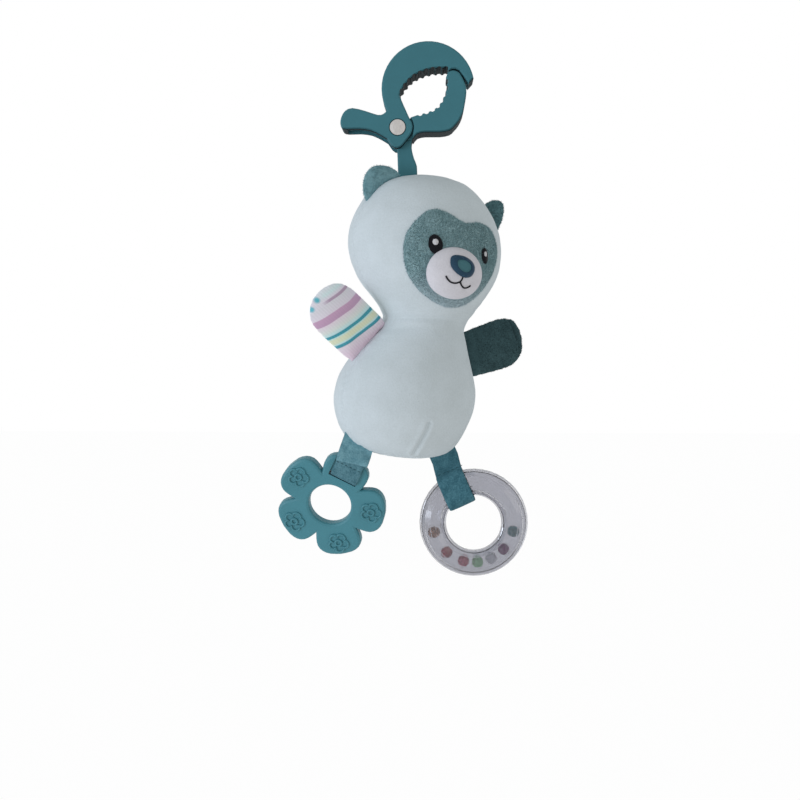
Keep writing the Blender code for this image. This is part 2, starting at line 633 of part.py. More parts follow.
def make_head(colours):
    """Head with its pocket for the stem's anchor, face mask, muzzle, nose and eyes."""
    world = Matrix.Identity(4)
    at_rivet = Matrix.Translation((RIVET_X, 0.0, RIVET_Z))
    head = add("head", head_shape(), world, colours["pale_velour"], 60.0)
    pocket = inset(stem_outline(), -GAP)
    carve(head, "anchor_pocket", slab(pocket, STEM_DEPTH + 2 * GAP), at_rivet)

    turn = Matrix.Rotation(math.radians(PLUSH_ROLL), 4, "Y")
    turn = turn @ Matrix.Rotation(math.radians(PLUSH_YAW), 4, "Z")
    face = Matrix.Translation((0.0, 0.0, HEAD_CENTRE_Z)) @ turn
    reach = HEAD_HALF_WIDTH + MUZZLE_SWELL
    ahead = Matrix.Translation((0.0, -reach / 2 - PIN_RADIUS, 0.0))

    half = scaled_pair(MASK_OUTLINE_SHARES, MASK_WIDTH, MASK_HEIGHT)
    outline = smooth_path(half, 3)
    outline += [(-x, z) for x, z in reversed(outline[1:-1])]
    outline = [(x, z - MASK_DROP) for x, z in outline]
    mask = add("face_mask", head_shape(GAP + MASK_THICKNESS), world, colours["mask_velour"], 60.0)
    carve(mask, "mask_back", head_shape(GAP), world)
    carve(mask, "mask_outline", slab(outline, reach), face @ ahead, "INTERSECT")

    on_mask = 2 * GAP + MASK_THICKNESS
    muzzle_size = (MUZZLE_HALF_WIDTH, MUZZLE_SWELL, MUZZLE_HALF_HEIGHT)
    forward = MUZZLE_FORWARD_SHARE * HEAD_HALF_WIDTH
    muzzle_place = face @ Matrix.Translation((0.0, -forward, -MUZZLE_DROP))
    muzzle = add("muzzle", ball(muzzle_size, 24, 14), muzzle_place, colours["white_plush"], 60.0)
    carve(muzzle, "muzzle_seat", head_shape(on_mask), world)

    nose_forward = MUZZLE_SWELL * math.sqrt(1 - (NOSE_RISE / MUZZLE_HALF_HEIGHT) ** 2)
    nose_place = muzzle_place @ Matrix.Translation((0.0, -nose_forward, NOSE_RISE))
    nose_shape = ball((NOSE_HALF_WIDTH, NOSE_SWELL, NOSE_HALF_HEIGHT), 16, 10)
    nose = add("nose", nose_shape, nose_place, colours["navy_thread"])
    outline = oval(NOSE_HALF_WIDTH * (1 - NOSE_POINT_SHARE / 4), NOSE_HALF_HEIGHT, NOSE_POINT_SHARE)
    carve(nose, "nose_outline", slab(outline, 3 * NOSE_SWELL), nose_place, "INTERSECT")
    carve(nose, "nose_seat", ball(tuple(size + GAP for size in muzzle_size), 24, 14), muzzle_place)

    lean = Matrix.Rotation(math.radians(EYE_LEAN), 2)
    leaning = [lean @ Vector(p) for p in oval(EYE_HALF_WIDTH, EYE_HALF_HEIGHT)]
    for across, name in ((EYE_LEFT_ACROSS, "eye_left"), (EYE_RIGHT_ACROSS, "eye_right")):
        outline = [(across + x, z + EYE_UP) for x, z in leaning]
        eye = add(name, head_shape(on_mask + EYE_THICKNESS), world, colours["black_thread"], 60.0)
        carve(eye, name + "_back", head_shape(on_mask), world)
        carve(eye, name + "_outline", slab(outline, reach), face @ ahead, "INTERSECT")
        carve(eye, name + "_clear", ball(tuple(size + GAP for size in muzzle_size), 24, 14), muzzle_place)
    return face, turn


def scaled_pair(shares, width, height):
    return [(x * width, z * height) for x, z in shares]


def limb_shape(outline_shares, length, width, thickness):
    """A sewn limb lying in X and Z: a thin rim swelling to a crown, its root edge on Z."""
    upper = smooth_path(scaled_pair(outline_shares, length, width), 2)
    tip = (length, 0.0)
    outline = upper + [tip] + [(x, -z) for x, z in reversed(upper)]
    middle = Vector((length / 2, 0.0))
    half_rim, half_crown = SEWN_EDGE / 2, thickness / 2
    front = []
    for share in SWELL_SHARES:
        y = half_rim + (half_crown - half_rim) * (1 - share**2)
        front.append([(middle.x + (x - middle.x) * share, -y, z * share) for x, z in outline])
    back = [[(x, -y, z) for x, y, z in ring] for ring in reversed(front)]
    crown = [(middle.x, -half_crown, 0.0)]
    return skin([crown] + list(reversed(front)) + list(reversed(back)) + [[(middle.x, half_crown, 0.0)]])


def frame_matrix(out, front, along, origin):
    """A matrix whose X, Y and Z axes are the given directions."""
    rotation = Matrix((out, front, along)).transposed()
    return Matrix.Translation(origin) @ rotation.to_4x4()


def make_ears(colours, face, head_surface):
    """Two ears, each on a hinge line laid across the head's surface."""
    middle = face.translation
    for side, name in ((-1, "ear_left"), (1, "ear_right")):
        lean = math.radians(side * EAR_ANGLE)
        out = (face.to_3x3() @ Vector((math.sin(lean), 0.0, math.cos(lean)))).normalized()
        front = face.to_3x3() @ Vector((0.0, 1.0, 0.0))
        seat = head_surface.ray_cast(middle, out)[0]
        place = frame_matrix(out, front, out.cross(front), seat + out * HINGE_GAP)
        hinge = pivot(name + "_hinge", place)
        shape = limb_shape(EAR_OUTLINE_SHARES, EAR_HEIGHT, EAR_WIDTH, EAR_THICKNESS)
        ear = add(name, shape, place, colours["teal_velour"], 60.0)
        parent(ear, hinge)


def spine_at(down):
    """A point on the body's spine at a share of its height."""
    nearest = min(smooth_path(BODY_STATION_SHARES, 8), key=lambda row: abs(row[0] - down))
    height = NECK_Z - GAP / 2 - BODY_BOTTOM_Z
    return Vector((nearest[1] * BODY_HALF_WIDTH, 0.0, NECK_Z - GAP / 2 - height * down))


def make_arms(colours, body_surface):
    """Two arms, each hinged along the straight seam between two points of the body's side."""
    yaw = math.radians(PLUSH_YAW)
    sideways = Vector((math.cos(yaw), math.sin(yaw), 0.0))
    arms = (
        (-1, "arm_left", ARM_LEFT_ROOT_SHARES, "striped_cotton"),
        (1, "arm_right", ARM_RIGHT_ROOT_SHARES, "teal_velour"),
    )
    for side, name, root_shares, colour in arms:
        ends = []
        for down in root_shares:
            start = spine_at(down)
            ends.append(body_surface.ray_cast(start, sideways * side)[0])
        along = (ends[0] - ends[1]).normalized()
        out = (sideways * side - along * along.dot(sideways * side)).normalized()
        front = along.cross(out)
        seam = clear_seam(body_surface, ends, out)
        place = frame_matrix(out, front, along, seam + out * HINGE_GAP)
        hinge = pivot(name + "_hinge", place)
        shape = limb_shape(ARM_OUTLINE_SHARES, ARM_LENGTH, ARM_WIDTH, ARM_THICKNESS)
        arm = add(name, shape, place, colours[colour], 60.0)
        parent(arm, hinge)


def clear_seam(surface, ends, out):
    """The middle of a seam line, moved out until no point of the line lies inside the surface."""
    middle = (ends[0] + ends[1]) / 2
    half = (ends[0] - ends[1]).normalized() * ARM_WIDTH / 2
    highest = 0.0
    for step in range(-4, 5):
        point = middle + half * step / 4
        inside = point - out * ARM_LENGTH / 2
        hit = surface.ray_cast(inside, out)[0]
        highest = max(highest, (hit - middle).dot(out)) if hit else highest
    return middle + out * highest


def leg_frame(surface, pendant, lean, end_radius):
    """The hinge of a leg: the line up from the pendant meets the body, clear of the ribbon's end."""
    turn = Matrix.Rotation(math.radians(lean), 4, "Y")
    up = turn.to_3x3() @ Vector((0.0, 0.0, 1.0))
    along = turn.to_3x3() @ Vector((1.0, 0.0, 0.0))
    reach = []
    for step in range(-4, 5):
        for side in (-1, 0, 1):
            start = pendant + along * RIBBON_WIDTH / 2 * step / 4 + Vector((0.0, side * end_radius, 0.0))
            reach.append((surface.ray_cast(start, up)[0] - start).length)
    length = min(reach) - end_radius - GAP
    return Matrix.Translation(pendant + up * length) @ turn, length


def hull(points):
    """The convex outline round points in a plane, anticlockwise."""
    points = sorted(set(points))
    halves = []
    for row in (points, points[::-1]):
        edge = []
        for p in row:
            while len(edge) > 1:
                (ax, az), (bx, bz) = edge[-2:]
                if (bx - ax) * (p[1] - az) - (bz - az) * (p[0] - ax) > 0:
                    break
                edge.pop()
            edge.append(p)
        halves += edge[:-1]
    return halves


def rounded_box(half_width, half_height, corner, middle):
    """An upright rectangle with round corners, its middle on the Z axis."""
    points = []
    for x, z, start in ((1, 1, 0.0), (-1, 1, 90.0), (-1, -1, 180.0), (1, -1, 270.0)):
        centre = (x * (half_width - corner), middle + z * (half_height - corner))
        points += arc(corner, start, start + 90.0, 4, centre)
    return points


def ribbon_shape(apex, middle, half_gap, half_height, corner):
    """A ribbon doubled from its hinge at the origin and parted round a bar, as a profile in X and Z."""
    loop = hull(rounded_box(half_gap, half_height, corner, middle) + [(0.0, apex)])
    wall = RIBBON_THICKNESS
    neck = apex + 0.6 * wall
    sides = [(RIBBON_END_RADIUS, neck), (-RIBBON_END_RADIUS, neck)]
    outer = hull(rounded_box(half_gap + wall, half_height + wall, corner + wall, middle) + sides)
    first = outer.index(sides[1])
    outline = outer[first:] + outer[:first] + arc(RIBBON_END_RADIUS, 0.0, 180.0, 6)
    return outline, loop


def make_ribbon(name, place, sizes, colours):
    """A ribbon from its profile: joined at the seam and open round the bar it holds."""
    outline, loop = ribbon_shape(*sizes)
    across = place @ Matrix.Rotation(math.radians(90.0), 4, "Z")
    ribbon = add(name, slab(outline, RIBBON_WIDTH), across, colours["teal_velour"])
    carve(ribbon, name + "_loop", slab(loop, RIBBON_WIDTH + CUT_OVERRUN), across)
    return ribbon


def flower_outline(reach, valley, steps):
    """A flower whose radius is blunt over the petals and sharp between them, its first petal at the top."""
    outline = []
    for i in range(steps):
        turn = 2 * math.pi * i / steps
        wave = abs(math.cos(PETALS * (turn - math.pi / 2) / 2))
        radius = valley + (reach - valley) * wave**MOTIF_BLUNTNESS_SHARE
        outline.append((radius * math.cos(turn), radius * math.sin(turn)))
    return outline


def petals_outline():
    """The teether's outline: half of each petal out from its valley, then the mirror image back."""
    half = smooth_path(scaled(PETAL_SHARES, PETAL_REACH), 2)
    petal = [(out, -across) for out, across in half] + half[-2:0:-1]
    outline = []
    for k in range(PETALS):
        turn = Matrix.Rotation(math.radians(90.0 + 360.0 * k / PETALS), 2)
        outline += [tuple(turn @ Vector(p)) for p in petal]
    return outline


def make_left_leg(colours, body_surface):
    """The short ribbon and the flower teether that tilts on it, hanging a little back from the front."""
    across = TEETHER_ACROSS_SHARE * BODY_HALF_WIDTH
    pendant = Vector((across, TEETHER_Y, BODY_BOTTOM_Z - TEETHER_DROP))
    place, length = leg_frame(body_surface, pendant, TEETHER_LEAN, RIBBON_END_RADIUS)
    place = place @ Matrix.Rotation(math.radians(TEETHER_REST_SWING), 4, "X")
    bar_middle = PETAL_REACH - BAR_LENGTH / 2 - length
    tilt = math.radians(TEETHER_TILT)
    half_bar, half_thick = BAR_LENGTH / 2, BAR_THICKNESS / 2
    half_gap = half_thick * math.cos(tilt) + half_bar * math.sin(tilt) + GAP
    half_height = half_bar * math.cos(tilt) + half_thick * math.sin(tilt) + GAP
    apex = bar_middle + half_height + TEETHER_PARTING
    sizes = (apex, bar_middle, half_gap, half_height, RIBBON_THICKNESS)
    seam = pivot("left_leg_seam", place)
    parent(make_ribbon("ribbon_left", place, sizes, colours), seam)

    centre = place @ Matrix.Translation((0.0, 0.0, -length))
    shape = slab(petals_outline(), TEETHER_THICKNESS, TEETHER_EDGE_ROUND)
    teether = add("teether", shape, centre, colours["teether_rubber"])
    past = TEETHER_THICKNESS + CUT_OVERRUN
    half = TEETHER_THICKNESS / 2
    mouth = TEETHER_HOLE_RADIUS + TEETHER_EDGE_ROUND
    hole = [(0.0, half + CUT_OVERRUN), (mouth, half + CUT_OVERRUN), (mouth, half)]
    hole += [(TEETHER_HOLE_RADIUS + 0.3 * TEETHER_EDGE_ROUND, half - 0.3 * TEETHER_EDGE_ROUND)]
    hole += [(TEETHER_HOLE_RADIUS, half - TEETHER_EDGE_ROUND)]
    hole += [(radius, -y) for radius, y in reversed(hole)]
    carve(teether, "teether_hole", turned(hole, 40), centre)
    low = PETAL_REACH - BAR_LENGTH
    half_slot = RIBBON_WIDTH / 2 + HINGE_GAP
    sill = low - SLOT_WIDTH
    slot = [(half_slot, low), (-half_slot, low), (-half_slot, sill), (half_slot, sill)]
    carve(teether, "ribbon_slot", slab(slot, past), centre)
    step = (TEETHER_THICKNESS - BAR_THICKNESS) / 2
    beyond = [(half_slot, low - SLOT_WIDTH / 2), (-half_slot, low - SLOT_WIDTH / 2)]
    beyond += [(-half_slot, PETAL_REACH + CUT_OVERRUN), (half_slot, PETAL_REACH + CUT_OVERRUN)]
    for side, name in ((-1, "bar_front"), (1, "bar_back")):
        y = side * (BAR_THICKNESS + step + CUT_OVERRUN) / 2
        carve(teether, name, slab(beyond, step + CUT_OVERRUN), centre @ Matrix.Translation((0.0, y, 0.0)))
    raise_motifs(teether, centre)
    tilting = pivot("teether_hinge", place @ Matrix.Translation((0.0, 0.0, bar_middle)))
    parent(teether, tilting)
    tilting.parent = seam
    tilting.matrix_parent_inverse = seam.matrix_world.inverted()


def raise_motifs(teether, centre):
    """A small flower drawn as a raised line round a raised eye, on the front of each free petal."""
    motifs = bmesh.new()
    sunk = MOTIF_HEIGHT * 2
    for k in range(1, PETALS):
        turn = math.radians(90.0 + 360.0 * k / PETALS)
        seat = Vector((MOTIF_SEAT * math.cos(turn), MOTIF_SEAT * math.sin(turn)))
        valley = MOTIF_RADIUS * MOTIF_VALLEY_SHARE
        petals = flower_outline(MOTIF_RADIUS, valley, MOTIF_POINTS)
        within = flower_outline(MOTIF_RADIUS - MOTIF_LINE, valley - MOTIF_LINE, MOTIF_POINTS)
        eye = arc(MOTIF_EYE_RADIUS, 0.0, 360.0, MOTIF_POINTS)[:-1]
        pupil = arc(MOTIF_EYE_RADIUS - MOTIF_LINE, 0.0, 360.0, MOTIF_POINTS)[:-1]
        for outer, inner in ((petals, within), (eye, pupil)):
            sections = []
            steps = ((outer, sunk), (outer, -MOTIF_HEIGHT), (inner, -MOTIF_HEIGHT), (inner, sunk))
            for outline, height in steps:
                y = height - TEETHER_THICKNESS / 2
                sections.append([(seat.x + x, y, seat.y + z) for x, z in outline])
            skin(sections, ring=True, shape=motifs)
    carve(teether, "petal_motifs", motifs, centre, "UNION")


def tube_section(side, grow):
    """Half of the ring's hollow section, on one side of its seam: the outer wall, then the inner."""
    seam = side * GAP / 2
    outer, inner = [], []
    for i in range(TUBE_POINTS + 1):
        turn = math.pi * i / TUBE_POINTS
        depth = seam + side * (TUBE_HALF_DEPTH - GAP / 2) * math.sin(turn)
        outer.append((TUBE_HALF_WIDTH * math.cos(turn), depth))
        half_width, half_depth = TUBE_HALF_WIDTH - grow, TUBE_HALF_DEPTH - grow
        inner.append((half_width * math.cos(turn), seam + side * (half_depth - GAP / 2) * math.sin(turn)))
    return outer + list(reversed(inner))


def make_right_leg(colours, body_surface):
    """The long ribbon, the two shells of the rattle ring that turn in it, and the beads."""
    pendant = Vector((RING_ACROSS_SHARE * BODY_HALF_WIDTH, RING_Y, BODY_BOTTOM_Z - RING_DROP))
    place, length = leg_frame(body_surface, pendant, RING_LEAN, RIBBON_END_RADIUS)
    half_gap = TUBE_HALF_DEPTH + GAP
    hole = RING_RADIUS - TUBE_HALF_WIDTH
    low = math.sqrt((hole - GAP) ** 2 - (RIBBON_WIDTH / 2) ** 2) - GAP
    top = RING_RADIUS + TUBE_HALF_WIDTH + GAP
    apex = top + RING_PARTING - length
    sizes = (apex, (top + low) / 2 - length, half_gap, (top - low) / 2, 0.8 * half_gap)
    seam = pivot("right_leg_seam", place)
    parent(make_ribbon("ribbon_right", place, sizes, colours), seam)

    centre = place @ Matrix.Translation((0.0, 0.0, -length))
    axis = pivot("ring_axis", centre)
    for side, name in ((-1, "ring_front_shell"), (1, "ring_back_shell")):
        section = tube_section(side, TUBE_WALL)
        sections = []
        for i in range(RING_STEPS):
            turn = 2 * math.pi * i / RING_STEPS
            turned_section = [(RING_RADIUS + out, y) for out, y in section]
            sections.append([(r * math.cos(turn), y, r * math.sin(turn)) for r, y in turned_section])
        parent(add(name, skin(sections, ring=True), centre, colours["clear_plastic"]), axis)
    axis.parent = seam
    axis.matrix_parent_inverse = seam.matrix_world.inverted()

    back = TUBE_HALF_DEPTH - TUBE_WALL - BEAD_RADIUS - GAP
    for number, angle in enumerate(BEAD_ANGLES, 1):
        turn = math.radians(angle + RING_LEAN)
        local = Vector((RING_RADIUS * math.cos(turn), back, RING_RADIUS * math.sin(turn)))
        name = "bead_%d" % number
        runner = pivot(name + "_run", centre)
        runner.parent = axis
        runner.matrix_parent_inverse = axis.matrix_world.inverted()
        bead = ball((BEAD_RADIUS,) * 3, BEAD_SIDES, BEAD_RINGS)
        bead_place = centre @ Matrix.Translation(local)
        piece = add(name, bead, bead_place, finish(name, BEAD_COLOURS[number - 1], 0.15))
        parent(piece, runner)


def main():
    clear_scene()
    roughness = {"teal_plastic": 0.35, "steel": 0.3, "teether_rubber": 0.4, "clear_plastic": 0.05}
    colours = {}
    for name, colour in COLOURS.items():
        metallic = 1.0 if name == "steel" else 0.0
        alpha = 0.3 if name == "clear_plastic" else 1.0
        colours[name] = finish(name, colour, roughness.get(name, 0.9), metallic, alpha)
    make_clip(colours)
    face, _ = make_head(colours)
    add("body", body_shape(), Matrix.Identity(4), colours["pale_velour"], 60.0)
    make_ears(colours, face, surface_of(head_shape()))
    body_surface = surface_of(body_shape())
    make_arms(colours, body_surface)
    make_left_leg(colours, body_surface)
    make_right_leg(colours, body_surface)
    for name in ("hook_jaw", "lower_jaw", "teether", "ribbon_left", "ribbon_right"):
        even_shading(bpy.data.objects[name])


main()
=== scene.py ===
# %% [markdown]
# # A hanging pram toy, dressed for its portrait
# The CAD model gives every moving part its size and place. This lesson loads it, replaces each stuffed or sewn
# part by a softer form of the same size, gives the moulded parts their finishes, and sets up camera and light.

# %% Load the CAD model
import math

import bmesh
import bpy
import numpy as np
from mathutils import Matrix, Vector
from mathutils.bvhtree import BVHTree
from mathutils.noise import noise


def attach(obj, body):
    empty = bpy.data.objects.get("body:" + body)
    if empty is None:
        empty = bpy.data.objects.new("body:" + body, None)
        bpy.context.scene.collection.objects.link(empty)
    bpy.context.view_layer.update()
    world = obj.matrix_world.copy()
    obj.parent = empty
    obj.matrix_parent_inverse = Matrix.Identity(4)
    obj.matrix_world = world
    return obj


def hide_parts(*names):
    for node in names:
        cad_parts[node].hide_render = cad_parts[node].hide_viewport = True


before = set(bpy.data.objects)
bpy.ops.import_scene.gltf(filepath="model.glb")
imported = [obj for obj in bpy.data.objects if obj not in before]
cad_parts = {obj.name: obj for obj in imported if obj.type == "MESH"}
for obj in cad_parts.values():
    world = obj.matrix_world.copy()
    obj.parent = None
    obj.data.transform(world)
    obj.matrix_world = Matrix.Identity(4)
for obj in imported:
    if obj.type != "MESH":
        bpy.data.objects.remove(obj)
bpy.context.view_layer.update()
MM = 0.001

# %% [markdown]
# ## Camera
# The toy was photographed from about half a metre, a little above the middle of its height. A 45 mm lens on a
# 36 mm sensor gives that view. A small vertical shift frames the toy in the upper part of a square picture
# without tilting the camera, as moving a crop would.

# %% Camera
camera = bpy.data.objects.new("camera", bpy.data.cameras.new("camera"))
bpy.context.scene.collection.objects.link(camera)
bpy.context.scene.camera = camera
camera.data.sensor_width = 36.0
camera.data.lens = 45.0
camera.data.shift_y = -0.05
camera.data.clip_start = 0.01
EYE_POINT = Vector((0.166, -530.0, -111.8)) * MM
PITCH, YAW = math.radians(3.034), math.radians(1.432)
forward = Vector((-math.sin(YAW) * math.cos(PITCH), math.cos(YAW) * math.cos(PITCH), -math.sin(PITCH)))
camera.matrix_world = Matrix.Translation(EYE_POINT) @ forward.to_track_quat("-Z", "Y").to_matrix().to_4x4()
print("Camera looks along", [round(v, 3) for v in forward])

# %% [markdown]
# ## Small helpers for nodes
# Colours are written as they look on a screen, in sRGB, and one function turns them into the linear values
# that a shader works with. One more function adds a node with its settings, values and links in one line, so a
# material reads as a list of what happens to the surface.

# %% Colour and node helpers
def paint(code):
    """A screen colour such as #C8D4DC as linear RGBA."""
    shares = [int(code[i:i + 2], 16) / 255 for i in (1, 3, 5)]
    return (*[s / 12.92 if s <= 0.04045 else ((s + 0.055) / 1.055) ** 2.4 for s in shares], 1.0)


def add_node(tree, kind, inputs=None, **settings):
    """A node with its settings, and its inputs given as values or as the sockets that feed them."""
    made = tree.nodes.new(kind)
    for name, value in settings.items():
        setattr(made, name, value)
    for name, value in (inputs or {}).items():
        if isinstance(value, bpy.types.NodeSocket):
            tree.links.new(value, made.inputs[name])
        else:
            made.inputs[name].default_value = value
    return made


def new_material(name, roughness, ior=1.5, metallic=0.0):
    """A material with its Principled shader, and the two things most of them need."""
    material = bpy.data.materials.new(name)
    material.use_nodes = True
    tree = material.node_tree
    shader = tree.nodes["Principled BSDF"]
    shader.inputs["Roughness"].default_value = roughness
    shader.inputs["Metallic"].default_value = metallic
    if not metallic:
        shader.inputs["IOR"].default_value = ior
    place = add_node(tree, "ShaderNodeTexCoord").outputs["Object"]
    return material, tree, shader, place


def mixed(tree, factor, one, other):
    """A colour between two, by a factor socket."""
    node = add_node(tree, "ShaderNodeMix", {"Factor": factor}, data_type="RGBA")
    for index, value in ((6, one), (7, other)):
        if isinstance(value, bpy.types.NodeSocket):
            tree.links.new(value, node.inputs[index])
        else:
            node.inputs[index].default_value = value
    return node.outputs[2]


def bumped(tree, shader, height, distance, strength=1.0):
    """Relief on the shader's normal, its depth in metres."""
    bump = add_node(tree, "ShaderNodeBump", {"Height": height, "Distance": distance, "Strength": strength})
    tree.links.new(bump.outputs["Normal"], shader.inputs["Normal"])


print("White is", paint("#FFFFFF"))

# %% [markdown]
# ## Velour
# The head, body, ears and one arm are polyester velour: a knit with a pile about a millimetre long, cut and
# brushed one way. The eye sees a dull surface that lightens at grazing angles, where light catches the tips of
# the fibres, and soft cloudy patches where the pile lies another way. Sheen gives the first, a coarse noise
# mixed into the colour the second, and a fine noise of fibre size the nap.

# %% Velour material
def velour(name, colour, shadow, sheen, nap_mm, clouds_mm=11.0, mottling=0.35, painted_light_below=None):
    material, tree, shader, place = new_material(name, 0.92, 1.45)
    clouds = add_node(tree, "ShaderNodeTexNoise", {"Vector": place, "Scale": 1 / (clouds_mm * MM), "Detail": 3.0})
    nap = add_node(tree, "ShaderNodeTexNoise", {"Vector": place, "Scale": 1 / (nap_mm * MM), "Detail": 2.0})
    grain = add_node(tree, "ShaderNodeMath", {0: clouds.outputs["Fac"], 1: nap.outputs["Fac"]}, operation="ADD")
    level = add_node(tree, "ShaderNodeMapRange", {"Value": grain.outputs[0], "From Min": 0.75, "From Max": 1.25,
                                                  "To Min": 0.5 - mottling, "To Max": 0.5 + mottling})
    colour_socket = mixed(tree, level.outputs[0], paint(shadow), paint(colour))
    # Painted light: the colour turns paler towards the bottom, between two heights, for light that comes up from below.
    if painted_light_below:
        start_mm, end_mm, pale = painted_light_below
        height = add_node(tree, "ShaderNodeSeparateXYZ", {"Vector": place}).outputs["Z"]
        paler = add_node(tree, "ShaderNodeMapRange", {"Value": height, "From Min": start_mm * MM,
                                                      "From Max": end_mm * MM, "To Max": 0.75})
        colour_socket = mixed(tree, paler.outputs[0], colour_socket, paint(pale))
    tree.links.new(colour_socket, shader.inputs["Base Color"])
    shader.inputs["Specular IOR Level"].default_value = 0.2
    shader.inputs["Sheen Weight"].default_value = sheen
    shader.inputs["Sheen Roughness"].default_value = 0.45
    shader.inputs["Sheen Tint"].default_value = paint(colour)
    bumped(tree, shader, nap.outputs["Fac"], 0.25 * MM, 0.55)
    return material


pale_velour = velour("velour_pale_blue_brushed", "#D8E0E4", "#CDD5D8", 0.30, 0.9)
teal_velour = velour("velour_dark_teal_brushed", "#5F8388", "#47666B", 0.45, 0.8, 7.0, 0.5)
# Painted light and shade: the left ear and the right arm are the same dark teal velour as the right ear, in a lighter
# copy for the lit left ear and a darker copy for the shaded right arm.
teal_velour_painted_light = velour("velour_dark_teal_painted_light", "#85ABB2", "#6E959D", 0.45, 0.8, 7.0, 0.5)
teal_velour_painted_shade = velour("velour_dark_teal_painted_shade", "#435D61", "#334A4E", 0.35, 0.8, 7.0, 0.5)
# The mask is painted paler towards its lower end, as painted light from below.
mask_velour = velour("velour_sea_grey_mottled", "#9AB7BB", "#7F9EA3", 0.35, 1.1, 5.0, 0.5, (-94.0, -112.0, "#CBD9E0"))
plush_white = velour("velboa_off_white_short", "#E1DDE2", "#D5D1D6", 0.30, 0.8, 6.0)
print("Velours:", [m.name for m in bpy.data.materials if m.name.startswith("vel")])

# %% [markdown]
# ## Printed cotton
# One arm is a printed cotton jersey. Its stripes cross the arm at a slant of about fourteen degrees to the
# seam at its root. A colour ramp holds one stop for each edge of a stripe, measured in millimetres from the
# root, and the coordinates are turned into the arm's own frame before they are read.

# %% Frames of the limbs
def frame_from(place_mm, out, along):
    """A matrix with X out of the seam and Z along it, as the limb's CAD frame has."""
    x = Vector(out).normalized()
    z = Vector(along)
    z = (z - x * z.dot(x)).normalized()
    turn = Matrix((x, z.cross(x), z)).transposed()
    return Matrix.Translation(Vector(place_mm) * MM) @ turn.to_4x4()


ARM_LEFT = frame_from((-30.48, -13.41, -128.45), (-0.628, -0.443, 0.64), (0.642, 0.169, 0.748))
ARM_RIGHT = frame_from((21.317, 14.193, -138.331), (0.876, 0.406, 0.26), (-0.188, -0.209, 0.96))
EAR_LEFT = frame_from((-22.27, -14.2, -49.53), (-0.549, -0.347, 0.76), (-0.712, -0.281, -0.643))
EAR_RIGHT = frame_from((35.03, 15.28, -64.6), (0.811, 0.347, 0.471), (-0.389, -0.281, 0.877))
LEG_LEFT = frame_from((-35.359, -13.0, -186.05), (0.899, 0.0, -0.438), (0.419, -0.292, 0.86))
LEG_RIGHT = frame_from((10.021, 9.0, -191.292), (0.914, 0.0, 0.407), (-0.407, 0.0, 0.914))
FACE = Matrix.Translation((0.0, 0.0, -0.0818)) @ Matrix.Rotation(math.radians(12.0), 4, "Y")
FACE = FACE @ Matrix.Rotation(math.radians(26.5), 4, "Z")
print("The face looks along", [round(v, 2) for v in FACE.to_3x3() @ Vector((0, -1, 0))])

# %% Striped cotton material
STRIPE_SLANT = 14.0
STRIPES_MM = (
    (0.0, "#EFD6E4"), (5.1, "#EFE2EA"), (5.6, "#3596A8"), (7.0, "#35A0B2"), (7.5, "#CCF0F0"), (8.6, "#E6EBCC"),
    (11.0, "#E8EBCA"), (12.0, "#CCF0EC"), (12.4, "#349FAE"), (13.8, "#3097A8"), (14.3, "#CAEDEE"), (16.5, "#E4EAE4"),
    (20.6, "#EEDFE8"), (21.1, "#C79FBE"), (24.7, "#D0A6C4"), (25.2, "#EAE0EA"), (30.2, "#E4E0E6"),
    (30.6, "#B89BB2"), (31.6, "#BCA4BA"), (32.0, "#EBE1EC"), (34.2, "#DDF0F0"), (37.0, "#EAECF0"),
)
STRIPES_SPAN_MM = 40.0
FADED_LINE_MM = 30.3
MARKS_MM = ((35.1, -3.0), (33.8, -8.3))


